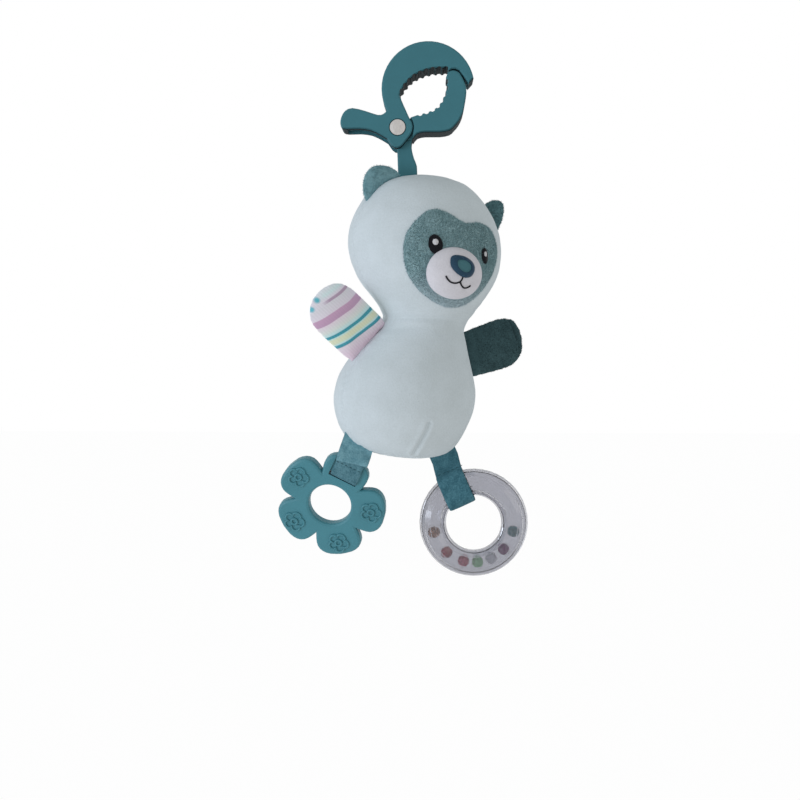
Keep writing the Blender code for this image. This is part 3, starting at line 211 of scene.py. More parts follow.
def striped_cotton(name):
    material, tree, shader, place = new_material(name, 0.85, 1.5)
    turn = ARM_LEFT.to_3x3().inverted().to_euler()
    own = add_node(tree, "ShaderNodeMapping", {"Vector": place, "Rotation": turn,
                                               "Location": ARM_LEFT.inverted().translation})
    wobble = add_node(tree, "ShaderNodeTexNoise", {"Vector": own.outputs[0], "Scale": 90.0, "Detail": 1.0})
    parts = add_node(tree, "ShaderNodeSeparateXYZ", {"Vector": own.outputs[0]})
    slant = math.radians(STRIPE_SLANT)
    leaned = add_node(tree, "ShaderNodeMath", {0: parts.outputs["Z"], 1: math.tan(slant),
                                               2: parts.outputs["X"]}, operation="MULTIPLY_ADD")
    shaken = add_node(tree, "ShaderNodeMath", {0: wobble.outputs["Fac"], 1: 0.9 * MM,
                                               2: leaned.outputs[0]}, operation="MULTIPLY_ADD")
    across = add_node(tree, "ShaderNodeMapRange", {"Value": shaken.outputs[0], "From Min": 0.45 * MM,
                                                   "From Max": (STRIPES_SPAN_MM + 0.45) * MM})
    ramp = add_node(tree, "ShaderNodeValToRGB", {"Fac": across.outputs[0]})
    stops = ramp.color_ramp.elements
    while len(stops) < len(STRIPES_MM):
        stops.new(0.5)
    for stop, (at, code) in zip(stops, STRIPES_MM):
        stop.position = at / STRIPES_SPAN_MM
        stop.color = paint(code)
    knit = add_node(tree, "ShaderNodeTexWave", {"Vector": own.outputs[0], "Scale": 1 / (0.7 * MM) / 6.283,
                                                "Distortion": 0.6}, bands_direction="Z")
    lower = add_node(tree, "ShaderNodeMapRange", {"Value": parts.outputs["Z"], "From Min": 1.0 * MM,
                                                  "From Max": -3.0 * MM})
    outer = add_node(tree, "ShaderNodeMath", {0: shaken.outputs[0], 1: FADED_LINE_MM * MM}, operation="GREATER_THAN")
    faded = add_node(tree, "ShaderNodeMath", {0: lower.outputs[0], 1: outer.outputs[0]}, operation="MULTIPLY")
    colour = mixed(tree, faded.outputs[0], ramp.outputs["Color"], paint("#E8E2EA"))
    flat = add_node(tree, "ShaderNodeVectorMath", {0: own.outputs[0], 1: (1.0, 0.0, 1.0)}, operation="MULTIPLY")
    for x, z in MARKS_MM:
        gap = add_node(tree, "ShaderNodeVectorMath", {0: flat.outputs[0], 1: (x * MM, 0.0, z * MM)},
                       operation="DISTANCE")
        mark = add_node(tree, "ShaderNodeMapRange", {"Value": gap.outputs["Value"], "From Min": 1.9 * MM,
                                                     "From Max": 0.8 * MM})
        colour = mixed(tree, mark.outputs[0], colour, paint("#5FBCCB"))
    tint = mixed(tree, add_node(tree, "ShaderNodeMath", {0: knit.outputs["Fac"], 1: 0.10},
                                operation="MULTIPLY").outputs[0], colour, paint("#B9B4BA"))
    tree.links.new(tint, shader.inputs["Base Color"])
    shader.inputs["Sheen Weight"].default_value = 0.15
    bumped(tree, shader, knit.outputs["Fac"], 0.12 * MM, 0.5)
    return material


striped = striped_cotton("cotton_jersey_printed")
print("Stripes across the arm:", len(STRIPES_MM), "stops")

# %% [markdown]
# ## Threads, ribbon and moulded plastics
# Embroidery thread is shiny rayon, twisted so finely that only its gloss shows. The ribbons are folded strips of
# the same velour. The clip is injection-moulded polypropylene, with a satin texture etched in
# the mould, and the teether is a softer rubbery plastic. The rattle ring is clear polystyrene.

# %% Thread, ribbon and plastic materials
def thread(name, colour, roughness=0.45):
    material, tree, shader, place = new_material(name, roughness, 1.5)
    twist = add_node(tree, "ShaderNodeTexNoise", {"Vector": place, "Scale": 1 / (0.5 * MM), "Detail": 1.0})
    dark = tuple(0.75 * v for v in paint(colour)[:3]) + (1.0,)
    tree.links.new(mixed(tree, twist.outputs["Fac"], dark, paint(colour)), shader.inputs["Base Color"])
    shader.inputs["Specular IOR Level"].default_value = 0.12
    shader.inputs["Sheen Weight"].default_value = 0.04
    bumped(tree, shader, twist.outputs["Fac"], 0.05 * MM, 0.5)
    return material


def moulded(name, colour, roughness, grain_mm, ior=1.49, relief_mm=0.02):
    material, tree, shader, place = new_material(name, roughness, ior)
    etch = add_node(tree, "ShaderNodeTexNoise", {"Vector": place, "Scale": 1 / (grain_mm * MM), "Detail": 2.0})
    flow = add_node(tree, "ShaderNodeTexNoise", {"Vector": place, "Scale": 1 / (14.0 * MM), "Detail": 2.0})
    dark = tuple(0.86 * v for v in paint(colour)[:3]) + (1.0,)
    tree.links.new(mixed(tree, flow.outputs["Fac"], dark, paint(colour)), shader.inputs["Base Color"])
    rough = add_node(tree, "ShaderNodeMapRange", {"Value": flow.outputs["Fac"], "To Min": roughness - 0.06,
                                                  "To Max": roughness + 0.06})
    tree.links.new(rough.outputs[0], shader.inputs["Roughness"])
    bumped(tree, shader, etch.outputs["Fac"], relief_mm * MM, 0.6)
    return material


navy_thread = thread("rayon_thread_navy", "#2E4C62")
sea_thread = thread("rayon_thread_sea_teal", "#4C7A82")
black_thread = thread("rayon_thread_black", "#15161C")
white_thread = thread("rayon_thread_white", "#E6E4E6")
pale_thread = thread("polyester_thread_pale_blue", "#B3C1C8", 0.6)
teal_thread = thread("polyester_thread_teal", "#3B636B", 0.6)
# Painted light and shade: the left strip and the flap folded over it are one velour, the strip painted darker as shade
# under the flap and the flap painted lighter as lit.
ribbon_painted_shade = velour("velour_ribbon_teal_painted_shade", "#648F9A", "#436C77", 0.35, 0.8, 3.5, 0.5)
ribbon_painted_light = velour("velour_ribbon_teal_painted_light", "#7DA9B3", "#5A8793", 0.4, 0.8, 3.5, 0.5)
ribbon_dark = velour("velour_ribbon_dark_teal", "#548390", "#376370", 0.35, 0.8, 3.5, 0.5)
clip_plastic = moulded("polypropylene_satin_teal", "#467D87", 0.55, 0.5)
tree = clip_plastic.node_tree
shader = tree.nodes["Principled BSDF"]
shader.inputs["Specular IOR Level"].default_value = 0.15
# Painted shade: faces that look down, a little towards +X, are darkened towards near-black #0A1418 and their specular
# lowered, as the clip's open underside and tooth walls lie in shade.
facing = add_node(tree, "ShaderNodeTexCoord").outputs["Normal"]
under = add_node(tree, "ShaderNodeVectorMath", {0: facing, 1: (0.35, 0.0, -0.94)}, operation="DOT_PRODUCT")
shade = add_node(tree, "ShaderNodeMapRange", {"Value": under.outputs["Value"], "From Min": 0.15, "From Max": 0.6,
                                              "To Max": 0.93})
moulded_colour = shader.inputs["Base Color"].links[0].from_socket
tree.links.new(mixed(tree, shade.outputs[0], moulded_colour, paint("#0A1418")), shader.inputs["Base Color"])
gloss = add_node(tree, "ShaderNodeMapRange", {"Value": shade.outputs[0], "To Min": 0.15, "To Max": 0.02})
tree.links.new(gloss.outputs[0], shader.inputs["Specular IOR Level"])
teether_rubber = moulded("rubbery_plastic_teal", "#4A8B97", 0.42, 0.7)
teether_rubber.node_tree.nodes["Principled BSDF"].inputs["Specular IOR Level"].default_value = 0.35
print("Materials so far:", len(bpy.data.materials))

# %% [markdown]
# ## Metal, clear plastic and beads
# The rivet is nickel-plated steel that was pressed flat, so its head has a faint dimpled grain. The clear
# plastic bends light by an index of 1.58 and is a little milky. Each bead is glossy acrylic of its own colour.

# %% Metal, clear plastic and bead materials
def plated_steel(name, colour, roughness):
    material, tree, shader, place = new_material(name, roughness, metallic=1.0)
    dents = add_node(tree, "ShaderNodeTexNoise", {"Vector": place, "Scale": 1 / (1.1 * MM), "Detail": 3.0})
    dark = tuple(0.7 * v for v in paint(colour)[:3]) + (1.0,)
    tree.links.new(mixed(tree, dents.outputs["Fac"], dark, paint(colour)), shader.inputs["Base Color"])
    bumped(tree, shader, dents.outputs["Fac"], 0.08 * MM, 0.6)
    return material


def clear_plastic(name):
    material, tree, shader, place = new_material(name, 0.06, 1.58)
    shader.inputs["Base Color"].default_value = paint("#C6C7CD")
    shader.inputs["Transmission Weight"].default_value = 0.985
    swirl = add_node(tree, "ShaderNodeTexNoise", {"Vector": place, "Scale": 1 / (6.0 * MM), "Detail": 2.0})
    haze = add_node(tree, "ShaderNodeMapRange", {"Value": swirl.outputs["Fac"], "To Min": 0.03, "To Max": 0.12})
    tree.links.new(haze.outputs[0], shader.inputs["Roughness"])
    bumped(tree, shader, swirl.outputs["Fac"], 0.03 * MM, 0.4)
    return material


def bead_acrylic(name, colour):
    material, tree, shader, place = new_material(name, 0.14, 1.49)
    marble = add_node(tree, "ShaderNodeTexNoise", {"Vector": place, "Scale": 1 / (2.5 * MM), "Detail": 1.0})
    dark = tuple(0.8 * v for v in paint(colour)[:3]) + (1.0,)
    tree.links.new(mixed(tree, marble.outputs["Fac"], dark, paint(colour)), shader.inputs["Base Color"])
    shader.inputs["Coat Weight"].default_value = 0.5
    return material


rivet_steel = plated_steel("nickel_plated_steel", "#C9C6C3", 0.42)
spring_steel = plated_steel("spring_steel_wire", "#A9AAB0", 0.3)
ring_plastic = clear_plastic("polystyrene_clear")
BEADS = {"bead_1": "#BF8C74", "bead_2": "#B4344C", "bead_3": "#D86E86", "bead_4": "#A6E4AC",
         "bead_5": "#F0F0F6", "bead_6": "#86387A", "bead_7": "#3A8088"}
bead_finishes = {name: bead_acrylic("acrylic_" + name, code) for name, code in BEADS.items()}
NODE_FINISHES = {"hook_jaw": clip_plastic, "lower_jaw": clip_plastic, "clip_rivet": rivet_steel,
                 "clip_spring": spring_steel, "teether": teether_rubber, "ring_front_shell": ring_plastic,
                 "ring_back_shell": ring_plastic, **bead_finishes}
for name, finish in NODE_FINISHES.items():
    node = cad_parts[name]
    node.data.materials.clear()
    node.data.materials.append(finish)
print("Finished CAD nodes:", len(NODE_FINISHES))

# %% [markdown]
# ## From points to pieces
# Every sewn piece starts as rows of points that are skinned into a closed surface. The same few helpers serve
# them all: a smooth curve through a handful of points, a skin over rows, and an object made from it.

# %% Geometry helpers
def through(points, steps, closed=False):
    """A smooth run of points through the given ones, of any dimension."""
    count = len(points)
    run = []
    for i in range(count if closed else count - 1):
        if closed:
            a, b, c, d = (np.array(points[(i + k) % count]) for k in (-1, 0, 1, 2))
        else:
            a, b, c, d = (np.array(points[min(max(i + k, 0), count - 1)]) for k in (-1, 0, 1, 2))
        for step in range(steps):
            t = step / steps
            run.append((2 * b + (c - a) * t + (2 * a - 5 * b + 4 * c - d) * t * t
                        + (3 * b - a - 3 * c + d) * t ** 3) / 2)
    return run if closed else run + [np.array(points[-1], float)]


def skinned(rows):
    """A closed bmesh over rows of points. A row may be a single point."""
    shape = bmesh.new()
    rings = [[shape.verts.new(p) for p in row] for row in rows]
    for low, high in zip(rings, rings[1:]):
        count = max(len(low), len(high))
        for i in range(count):
            corners = [low[i % len(low)], low[(i + 1) % len(low)], high[(i + 1) % len(high)], high[i % len(high)]]
            shape.faces.new(list(dict.fromkeys(corners)))
    for end in (rings[0], rings[-1]):
        if len(end) > 2:
            shape.faces.new(end)
    bmesh.ops.recalc_face_normals(shape, faces=shape.faces)
    return shape


def piece_from(name, shape, material, place=None):
    """An object at the origin whose mesh already stands in its place."""
    if place is not None:
        bmesh.ops.transform(shape, matrix=place, verts=shape.verts)
    mesh = bpy.data.meshes.new(name)
    shape.to_mesh(mesh)
    shape.free()
    mesh.shade_smooth()
    mesh.materials.append(material)
    piece = bpy.data.objects.new(name, mesh)
    bpy.context.scene.collection.objects.link(piece)
    return piece


def surface_of(piece):
    """A search tree over a piece, to seat others on it."""
    shape = bmesh.new()
    shape.from_mesh(piece.data)
    bmesh.ops.triangulate(shape, faces=shape.faces)
    tree = BVHTree.FromBMesh(shape)
    shape.free()
    return tree


def apply_modifiers(piece):
    """Bakes the modifiers into the piece's own mesh."""
    graph = bpy.context.evaluated_depsgraph_get()
    made = bpy.data.meshes.new_from_object(piece.evaluated_get(graph), depsgraph=graph)
    made.name = piece.name
    piece.modifiers.clear()
    piece.data = made
    made.shade_smooth()


print("Helpers ready")

# %% [markdown]
# ## The plush skin
# Head and body are one bag of velour, drawn in at the neck. Its shape is a stack of ellipses along a bent spine,
# as a maker would describe it by girths at several heights. The bag is then blown up as cloth from a slightly
# smaller size: pressure rounds it between its seams, which is what stuffing does.

# %% Rings of the plush skin
HEAD_ROWS = (
    (0.017, -0.04, 0.30), (0.055, -0.05, 0.53), (0.115, -0.045, 0.69), (0.19, -0.035, 0.80), (0.28, -0.03, 0.90),
    (0.40, -0.014, 0.98), (0.52, -0.002, 1.0), (0.63, 0.018, 0.966), (0.74, 0.036, 0.89), (0.83, 0.05, 0.775),
    (0.91, 0.06, 0.665), (0.965, 0.05, 0.595),
)
BODY_ROWS = (
    (0.0, 0.03, 0.588), (0.045, -0.03, 0.585), (0.105, -0.10, 0.645), (0.175, -0.15, 0.73), (0.25, -0.195, 0.81),
    (0.33, -0.235, 0.89), (0.42, -0.26, 0.96), (0.53, -0.276, 1.0), (0.64, -0.28, 0.99), (0.73, -0.288, 0.94),
    (0.82, -0.285, 0.85), (0.89, -0.26, 0.745), (0.94, -0.21, 0.60), (0.975, -0.14, 0.41), (0.993, -0.10, 0.22),
)
HEAD_TOP, NECK, BODY_FOOT = -42.8 * MM, -117.6 * MM, -192.0 * MM
HEAD_HALF, BODY_HALF = 40.3 * MM, 38.0 * MM
TURN = math.radians(26.5)


def girth(z, sway, across, deep, sides=72):
    ring = []
    for i in range(sides):
        a = 2 * math.pi * i / sides
        x, y = across * math.cos(a), deep * math.sin(a)
        ring.append((sway + x * math.cos(TURN) - y * math.sin(TURN), x * math.sin(TURN) + y * math.cos(TURN), z))
    return ring


def plush_rows(shrink=0.0):
    rows = []
    for down, sway, width in through(HEAD_ROWS, 3):
        across = width * HEAD_HALF - shrink
        rows.append(girth(HEAD_TOP + (NECK - HEAD_TOP) * down, sway * HEAD_HALF, across,
                          width * HEAD_HALF * 0.95 - shrink))
    for down, sway, width in through(BODY_ROWS, 3):
        deep = 0.95 - 0.07 * min(down / 0.40, 1.0)
        rows.append(girth(NECK + (BODY_FOOT - NECK) * down, sway * BODY_HALF, width * BODY_HALF - shrink,
                          width * BODY_HALF * deep - shrink))
    crown = [(-0.03 * HEAD_HALF, 0.0, HEAD_TOP - shrink)]
    foot = [(-0.09 * BODY_HALF, 0.0, BODY_FOOT + shrink)]
    return [crown] + rows + [foot]


def blown_up(piece, voxel_mm, cap_mm, pressure=40.0, pinned=None, frames=20):
    """Remeshes a piece and inflates it as cloth, with no point moving further than the cap."""
    remesh = piece.modifiers.new("even_mesh", "REMESH")
    remesh.mode = "VOXEL"
    remesh.voxel_size = voxel_mm * MM
    apply_modifiers(piece)
    count = len(piece.data.vertices)
    before = np.zeros(count * 3)
    piece.data.vertices.foreach_get("co", before)
    cloth = piece.modifiers.new("stuffing", "CLOTH")
    cloth.settings.quality = 6
    cloth.settings.mass = 0.002
    cloth.settings.tension_stiffness = 5.0
    cloth.settings.compression_stiffness = 5.0
    cloth.settings.bending_stiffness = 0.05
    cloth.settings.use_pressure = True
    cloth.settings.uniform_pressure_force = pressure
    cloth.settings.effector_weights.gravity = 0.0
    cloth.point_cache.frame_start, cloth.point_cache.frame_end = 1, frames
    if pinned is not None:
        group = piece.vertex_groups.new(name="seam")
        for index, weight in enumerate(pinned(before.reshape(-1, 3))):
            group.add([index], float(weight), "REPLACE")
        cloth.settings.vertex_group_mass = "seam"
    scene = bpy.context.scene
    for step in range(1, frames + 1):
        scene.frame_set(step)
    graph = bpy.context.evaluated_depsgraph_get()
    swollen = piece.evaluated_get(graph).data
    after = np.zeros(count * 3)
    swollen.vertices.foreach_get("co", after)
    moved = (after - before).reshape(-1, 3)
    far = np.linalg.norm(moved, axis=1)
    print(piece.name, "points", count, "moved on average", round(far.mean() / MM, 2), "mm, most", round(far.max() / MM, 2))
    kept = moved * np.minimum(1.0, cap_mm * MM / np.maximum(far, 1e-9))[:, None]
    piece.modifiers.clear()
    piece.vertex_groups.clear()
    piece.data.vertices.foreach_set("co", (before + kept.ravel()))
    piece.data.update()
    scene.frame_set(1)
    return piece


plush = piece_from("plush_skin", skinned(plush_rows(-0.50 * MM)), pale_velour)
blown_up(plush, 3.0, 0.9)
smoother = plush.modifiers.new("smooth", "SMOOTH")
smoother.iterations = 4
smoother.factor = 0.5
finer = plush.modifiers.new("finer", "SUBSURF")
finer.levels = finer.render_levels = 2
apply_modifiers(plush)
print("Plush skin:", len(plush.data.vertices), "points")

# %% [markdown]
# ## Seams and creases of the skin
# A seam runs up one side of the toy, over its crown and down the other: the front and the back are cut apart
# and joined there. A short dart at the foot of the belly takes up the fullness. Both are grooves with small
# puckers, too narrow for the cloth mesh, so they are pressed in afterwards. The stuffing leaves soft lumps,
# and the neck has a few level creases.

# %% Press in seams and creases
PUCKER_PITCH = 3.2 * MM
DART_MM = ((2.3, -170.3), (1.0, -174.2), (-2.2, -180.5), (-5.3, -186.5))


def distance_to_line(p, line):
    """How far a point lies from a run of straight pieces."""
    near = math.inf
    for a, b in zip(line, line[1:]):
        t = min(max((p - a).dot(b - a) / (b - a).length_squared, 0.0), 1.0)
        near = min(near, (p - a.lerp(b, t)).length)
    return near


def press_seams(piece):
    mesh = piece.data
    side = Vector((-math.sin(TURN), math.cos(TURN), 0.0))
    dart = [Vector((x, 0.0, z)) * MM for x, z in DART_MM]
    start = [(vertex.co.copy(), vertex.normal.copy()) for vertex in mesh.vertices]
    pressed = []
    for p, n in start:
        off = p.dot(side)
        along = (p.z + 0.6 * abs(p.x)) / PUCKER_PITCH * 2 * math.pi
        push = -0.50 * math.exp(-(off / (0.9 * MM)) ** 2)
        push += 0.10 * math.sin(along) * math.exp(-(off / (3.0 * MM)) ** 2)
        if p.y < -5 * MM and -190 * MM < p.z < -165 * MM:
            near = distance_to_line(Vector((p.x, 0.0, p.z)), dart)
            push -= 1.1 * math.exp(-(near / (0.9 * MM)) ** 2)
            push += 0.35 * math.exp(-((near - 2.2 * MM) / (1.5 * MM)) ** 2)
        neck = math.exp(-((p.z - NECK) / (9 * MM)) ** 2)
        fold = (p.z - NECK + 0.05 * p.x) / (1.3 * MM)
        deep = max(0.0, 0.9 + 0.6 * noise(Vector((p.x / (13 * MM), 0.0, 5.0)))) * max(0.0, -n.y)
        push -= deep * math.exp(-fold * fold)
        push += 0.45 * neck * noise(Vector((p.x / (16 * MM), p.y / (16 * MM), p.z / (3.2 * MM))))
        push += 0.40 * noise(p / (22 * MM))
        push += 0.10 * noise(p / (6 * MM))
        pressed.extend(p + n * push * MM)
    mesh.vertices.foreach_set("co", pressed)
    mesh.update()


press_seams(plush)
print("Seams pressed in, side seam and one dart")

# %% [markdown]
# ## Repeating things with Geometry Nodes
# Thread, stitches and pile are all one small shape repeated. Three node trees make them. The first turns every
# edge path of a mesh into a round thread. The second lays short stitches at an even pitch along a path. The
# third plants fibres over a surface. Each ends in Realize Instances and Set Material, so that its result is
# plain mesh, and the modifier is gone before the piece joins the toy.

# %% A tree's inputs and outputs
def new_tree(name, inputs):
    """A geometry tree with a geometry input, the named inputs, and a material."""
    tree = bpy.data.node_groups.new(name, "GeometryNodeTree")
    sockets = {}
    tree.interface.new_socket(name="Geometry", in_out="INPUT", socket_type="NodeSocketGeometry")
    for label, value in inputs.items():
        kind = "NodeSocketInt" if isinstance(value, int) else "NodeSocketFloat"
        sockets[label] = tree.interface.new_socket(name=label, in_out="INPUT", socket_type=kind)
        sockets[label].default_value = value
    sockets["Material"] = tree.interface.new_socket(name="Material", in_out="INPUT", socket_type="NodeSocketMaterial")
    tree.interface.new_socket(name="Geometry", in_out="OUTPUT", socket_type="NodeSocketGeometry")
    given = add_node(tree, "NodeGroupInput").outputs
    return tree, given, {label: socket.identifier for label, socket in sockets.items()}


def close_tree(tree, geometry, given):
    """Ends a tree in real geometry with its material."""
    real = add_node(tree, "GeometryNodeRealizeInstances", {"Geometry": geometry})
    coated = add_node(tree, "GeometryNodeSetMaterial", {"Geometry": real.outputs[0], "Material": given["Material"]})
    smooth = add_node(tree, "GeometryNodeSetShadeSmooth", {"Geometry": coated.outputs[0]})
    add_node(tree, "NodeGroupOutput", {"Geometry": smooth.outputs[0]})


def made_by(tree, identifiers, source, name, material, values):
    """A plain mesh object from a tree, its inputs set by identifier before the first evaluation."""
    modifier = source.modifiers.new(name, "NODES")
    modifier.node_group = tree
    for label, value in values.items():
        modifier[identifiers[label]] = value
    modifier[identifiers["Material"]] = material
    graph = bpy.context.evaluated_depsgraph_get()
    mesh = bpy.data.meshes.new_from_object(source.evaluated_get(graph), depsgraph=graph)
    mesh.name = name
    source.modifiers.remove(modifier)
    piece = bpy.data.objects.new(name, mesh)
    bpy.context.scene.collection.objects.link(piece)
    print(name, len(mesh.polygons), "faces")
    return piece


# %% Thread tree
THREAD_TREE, given, THREAD_IDS = new_tree("round_thread", {"Thread radius": 0.0002, "Sides": 6})
spine = add_node(THREAD_TREE, "GeometryNodeMeshToCurve", {"Mesh": given["Geometry"]})
section = add_node(THREAD_TREE, "GeometryNodeCurvePrimitiveCircle", {"Resolution": given["Sides"],
                                                                   "Radius": given["Thread radius"]}, mode="RADIUS")
thread_body = add_node(THREAD_TREE, "GeometryNodeCurveToMesh", {"Curve": spine.outputs[0],
                                                              "Profile Curve": section.outputs[0],
                                                              "Fill Caps": True})
close_tree(THREAD_TREE, thread_body.outputs[0], given)
print("Thread tree:", len(THREAD_TREE.nodes), "nodes")

# %% Stitch tree
STITCH_TREE, given, STITCH_IDS = new_tree("stitch_row", {"Pitch": 0.0025, "Stitch length": 0.0019,
                                                         "Thread radius": 0.00022})
spine = add_node(STITCH_TREE, "GeometryNodeMeshToCurve", {"Mesh": given["Geometry"]})
evenly = add_node(STITCH_TREE, "GeometryNodeResampleCurve", {"Curve": spine.outputs[0], "Length": given["Pitch"]},
                  mode="LENGTH")
seed_shape = add_node(STITCH_TREE, "GeometryNodeMeshUVSphere", {"Segments": 6, "Rings": 6, "Radius": 1.0})
half_length = add_node(STITCH_TREE, "ShaderNodeMath", {0: given["Stitch length"], 1: 0.5}, operation="MULTIPLY")
size = add_node(STITCH_TREE, "ShaderNodeCombineXYZ", {"X": given["Thread radius"], "Y": given["Thread radius"],
                                                      "Z": half_length.outputs[0]})
along = add_node(STITCH_TREE, "GeometryNodeInputTangent")
aligned = add_node(STITCH_TREE, "FunctionNodeAlignRotationToVector", {"Vector": along.outputs[0]}, axis="Z")
sown = add_node(STITCH_TREE, "GeometryNodeInstanceOnPoints", {"Points": evenly.outputs[0],
                                                              "Instance": seed_shape.outputs[0],
                                                              "Rotation": aligned.outputs[0],
                                                              "Scale": size.outputs[0]})
close_tree(STITCH_TREE, sown.outputs[0], given)
print("Stitch tree:", len(STITCH_TREE.nodes), "nodes")

# %% Pile tree
PILE_TREE, given, PILE_IDS = new_tree("pile_fibres", {"Density": 2.0e6, "Fibre length": 0.0008,
                                                      "Fibre radius": 0.00011, "Lean": 0.6, "Seed": 4})
planted = add_node(PILE_TREE, "GeometryNodeDistributePointsOnFaces", {"Mesh": given["Geometry"],
                                                                      "Density": given["Density"],
                                                                      "Seed": given["Seed"]})
fibre = add_node(PILE_TREE, "GeometryNodeMeshCone", {"Vertices": 3, "Radius Top": 0.0,
                                                     "Radius Bottom": given["Fibre radius"],
                                                     "Depth": given["Fibre length"]})
low_lean = add_node(PILE_TREE, "ShaderNodeMath", {0: given["Lean"], 1: -1.0}, operation="MULTIPLY")
lean = add_node(PILE_TREE, "FunctionNodeRandomValue", {"Seed": given["Seed"]}, data_type="FLOAT_VECTOR")
for socket, value in ((lean.inputs[0], low_lean.outputs[0]), (lean.inputs[1], given["Lean"])):
    PILE_TREE.links.new(value, socket)
leaned = add_node(PILE_TREE, "ShaderNodeVectorMath", {0: planted.outputs["Normal"], 1: lean.outputs[0]},
                  operation="ADD")
upright = add_node(PILE_TREE, "FunctionNodeAlignRotationToVector", {"Vector": leaned.outputs[0]}, axis="Z")
sown = add_node(PILE_TREE, "GeometryNodeInstanceOnPoints", {"Points": planted.outputs["Points"],
                                                            "Instance": fibre.outputs["Mesh"],
                                                            "Rotation": upright.outputs[0]})
close_tree(PILE_TREE, sown.outputs[0], given)
print("Pile tree:", len(PILE_TREE.nodes), "nodes")


# %% Paths that the trees follow
def paths_object(name, paths):
    """A mesh of bare edges, one run for each path. It is only a source and isn't part of the toy."""
    mesh = bpy.data.meshes.new(name)
    points, edges = [], []
    for path in paths:
        first = len(points)
        points += [tuple(p) for p in path]
        edges += [(first + i, first + i + 1) for i in range(len(path) - 1)]
    mesh.from_pydata(points, edges, [])
    source = bpy.data.objects.new(name, mesh)
    bpy.context.scene.collection.objects.link(source)
    return source


def threads(name, paths, material, radius_mm, sides=6):
    source = paths_object(name + "_paths", paths)
    piece = made_by(THREAD_TREE, THREAD_IDS, source, name, material,
                    {"Thread radius": radius_mm * MM, "Sides": sides})
    bpy.data.objects.remove(source)
    return piece


def stitches(name, paths, material, pitch_mm, length_mm, radius_mm):
    source = paths_object(name + "_paths", paths)
    piece = made_by(STITCH_TREE, STITCH_IDS, source, name, material,
                    {"Pitch": pitch_mm * MM, "Stitch length": length_mm * MM, "Thread radius": radius_mm * MM})
    bpy.data.objects.remove(source)
    return piece


def pile(name, source, material, per_mm2, length_mm, radius_mm, lean, seed):
    return made_by(PILE_TREE, PILE_IDS, source, name, material,
                   {"Density": per_mm2 * 1.0e6, "Fibre length": length_mm * MM, "Fibre radius": radius_mm * MM,
                    "Lean": lean, "Seed": seed})


def on_surface(points, surface, lift_mm):
    """Each point moved to the nearest place on a surface and lifted off it."""
    seated = []
    for p in points:
        place, normal, _, _ = surface.find_nearest(Vector(p))
        seated.append(place + normal * lift_mm * MM)
    return seated


print("Three trees:", THREAD_TREE.name, STITCH_TREE.name, PILE_TREE.name)

# %% [markdown]
# ## The face
# The mask is a patch of mottled velour sewn flat to the head. The muzzle is a small stuffed dome of off-white
# velboa in its middle. Each is a patch on the surface that carries it: rings of an outline are dropped along
# the face's own line of sight onto that surface, and lifted by a profile. A patch is closed underneath.

# %% Patches seated on a surface
plush_surface = surface_of(plush)
MASK_MM = (
    (1.2, 15.4), (5.4, 16.2), (9.5, 17.3), (13.4, 17.3), (17.6, 16.3), (21.2, 13.8), (24.6, 8.6), (26.2, 2.4),
    (25.8, -3.9), (24.0, -10.0), (21.0, -16.6), (15.6, -23.0), (9.0, -26.4), (2.0, -26.9), (-5.0, -25.0),
    (-12.0, -22.0), (-18.4, -17.2), (-23.0, -11.2), (-25.6, -4.4), (-26.2, 2.0), (-24.8, 7.3), (-21.2, 13.4),
    (-17.4, 17.4), (-13.0, 18.9), (-8.6, 18.2), (-3.4, 16.6),
)


def dropped(surface, x, z, frame_of=FACE):
    """The point of a surface that lies behind a place of the face, in metres across and up, and its normal."""
    start = frame_of @ Vector((x, -0.08, z))
    place, normal, _, _ = surface.ray_cast(start, frame_of.to_3x3() @ Vector((0.0, 1.0, 0.0)))
    return place, normal


def patch(name, outline, surface, material, profile, frame_of=FACE, under_mm=0.15):
    """A closed patch. The profile holds (share of the outline, lift in mm) from its rim to its middle."""
    centre = (sum(x for x, _ in outline) / len(outline), sum(z for _, z in outline) / len(outline))
    rows = []
    rim, middle = profile[0], profile[-1]
    under = [(share, -under_mm) for share, _ in profile[1:]][::-1]
    for share, lift in under + [(1.0, -under_mm)] + list(profile):
        if share == 0.0:
            place, normal = dropped(surface, *centre, frame_of)
            rows.append([place + normal * lift * MM])
            continue
        ring = []
        for x, z in outline:
            place, normal = dropped(surface, centre[0] + (x - centre[0]) * share, centre[1] + (z - centre[1]) * share,
                                    frame_of)
            ring.append(place + normal * lift * MM)
        rows.append(ring)
    return piece_from(name, skinned(rows), material)


mask_outline = through([(x * MM, z * MM) for x, z in MASK_MM], 5, closed=True)
rings = [(0.985, 0.55), (0.95, 0.7)] + [(s / 20, 0.7) for s in range(18, 0, -1)] + [(0.0, 0.7)]
mask = patch("face_mask_patch", mask_outline, plush_surface, mask_velour, rings)
print("Mask:", len(mask.data.polygons), "faces")

# %% Muzzle
MUZZLE_ACROSS, MUZZLE_UP, MUZZLE_SWELL, MUZZLE_AHEAD, MUZZLE_DROP = (v * MM for v in (15.2, 12.9, 8.5, 38.0, 10.0))
mask_surface = surface_of(mask)


def muzzle_rows(sides=48):
    """Rings from the seam on the head, out to the widest girth, and in over the front to the tip."""
    rows = []
    for share in (0.0, 0.3, 0.6, 0.85):
        rows.append(seam_ring(share * 0.93, sides))
    rows.append(seam_ring(0.93, sides))
    for k in range(1, 16):
        a = math.radians(-8.0 + 98.0 * k / 15)
        reach, rise = math.cos(a), math.sin(a)
        ring = []
        for i in range(sides):
            t = 2 * math.pi * i / sides
            ring.append(FACE @ Vector((MUZZLE_ACROSS * reach * math.cos(t), -MUZZLE_AHEAD - MUZZLE_SWELL * rise,
                                       MUZZLE_UP * reach * math.sin(t) - MUZZLE_DROP)))
        rows.append(ring if k < 15 else [FACE @ Vector((0.0, -MUZZLE_AHEAD - MUZZLE_SWELL, -MUZZLE_DROP))])
    return rows


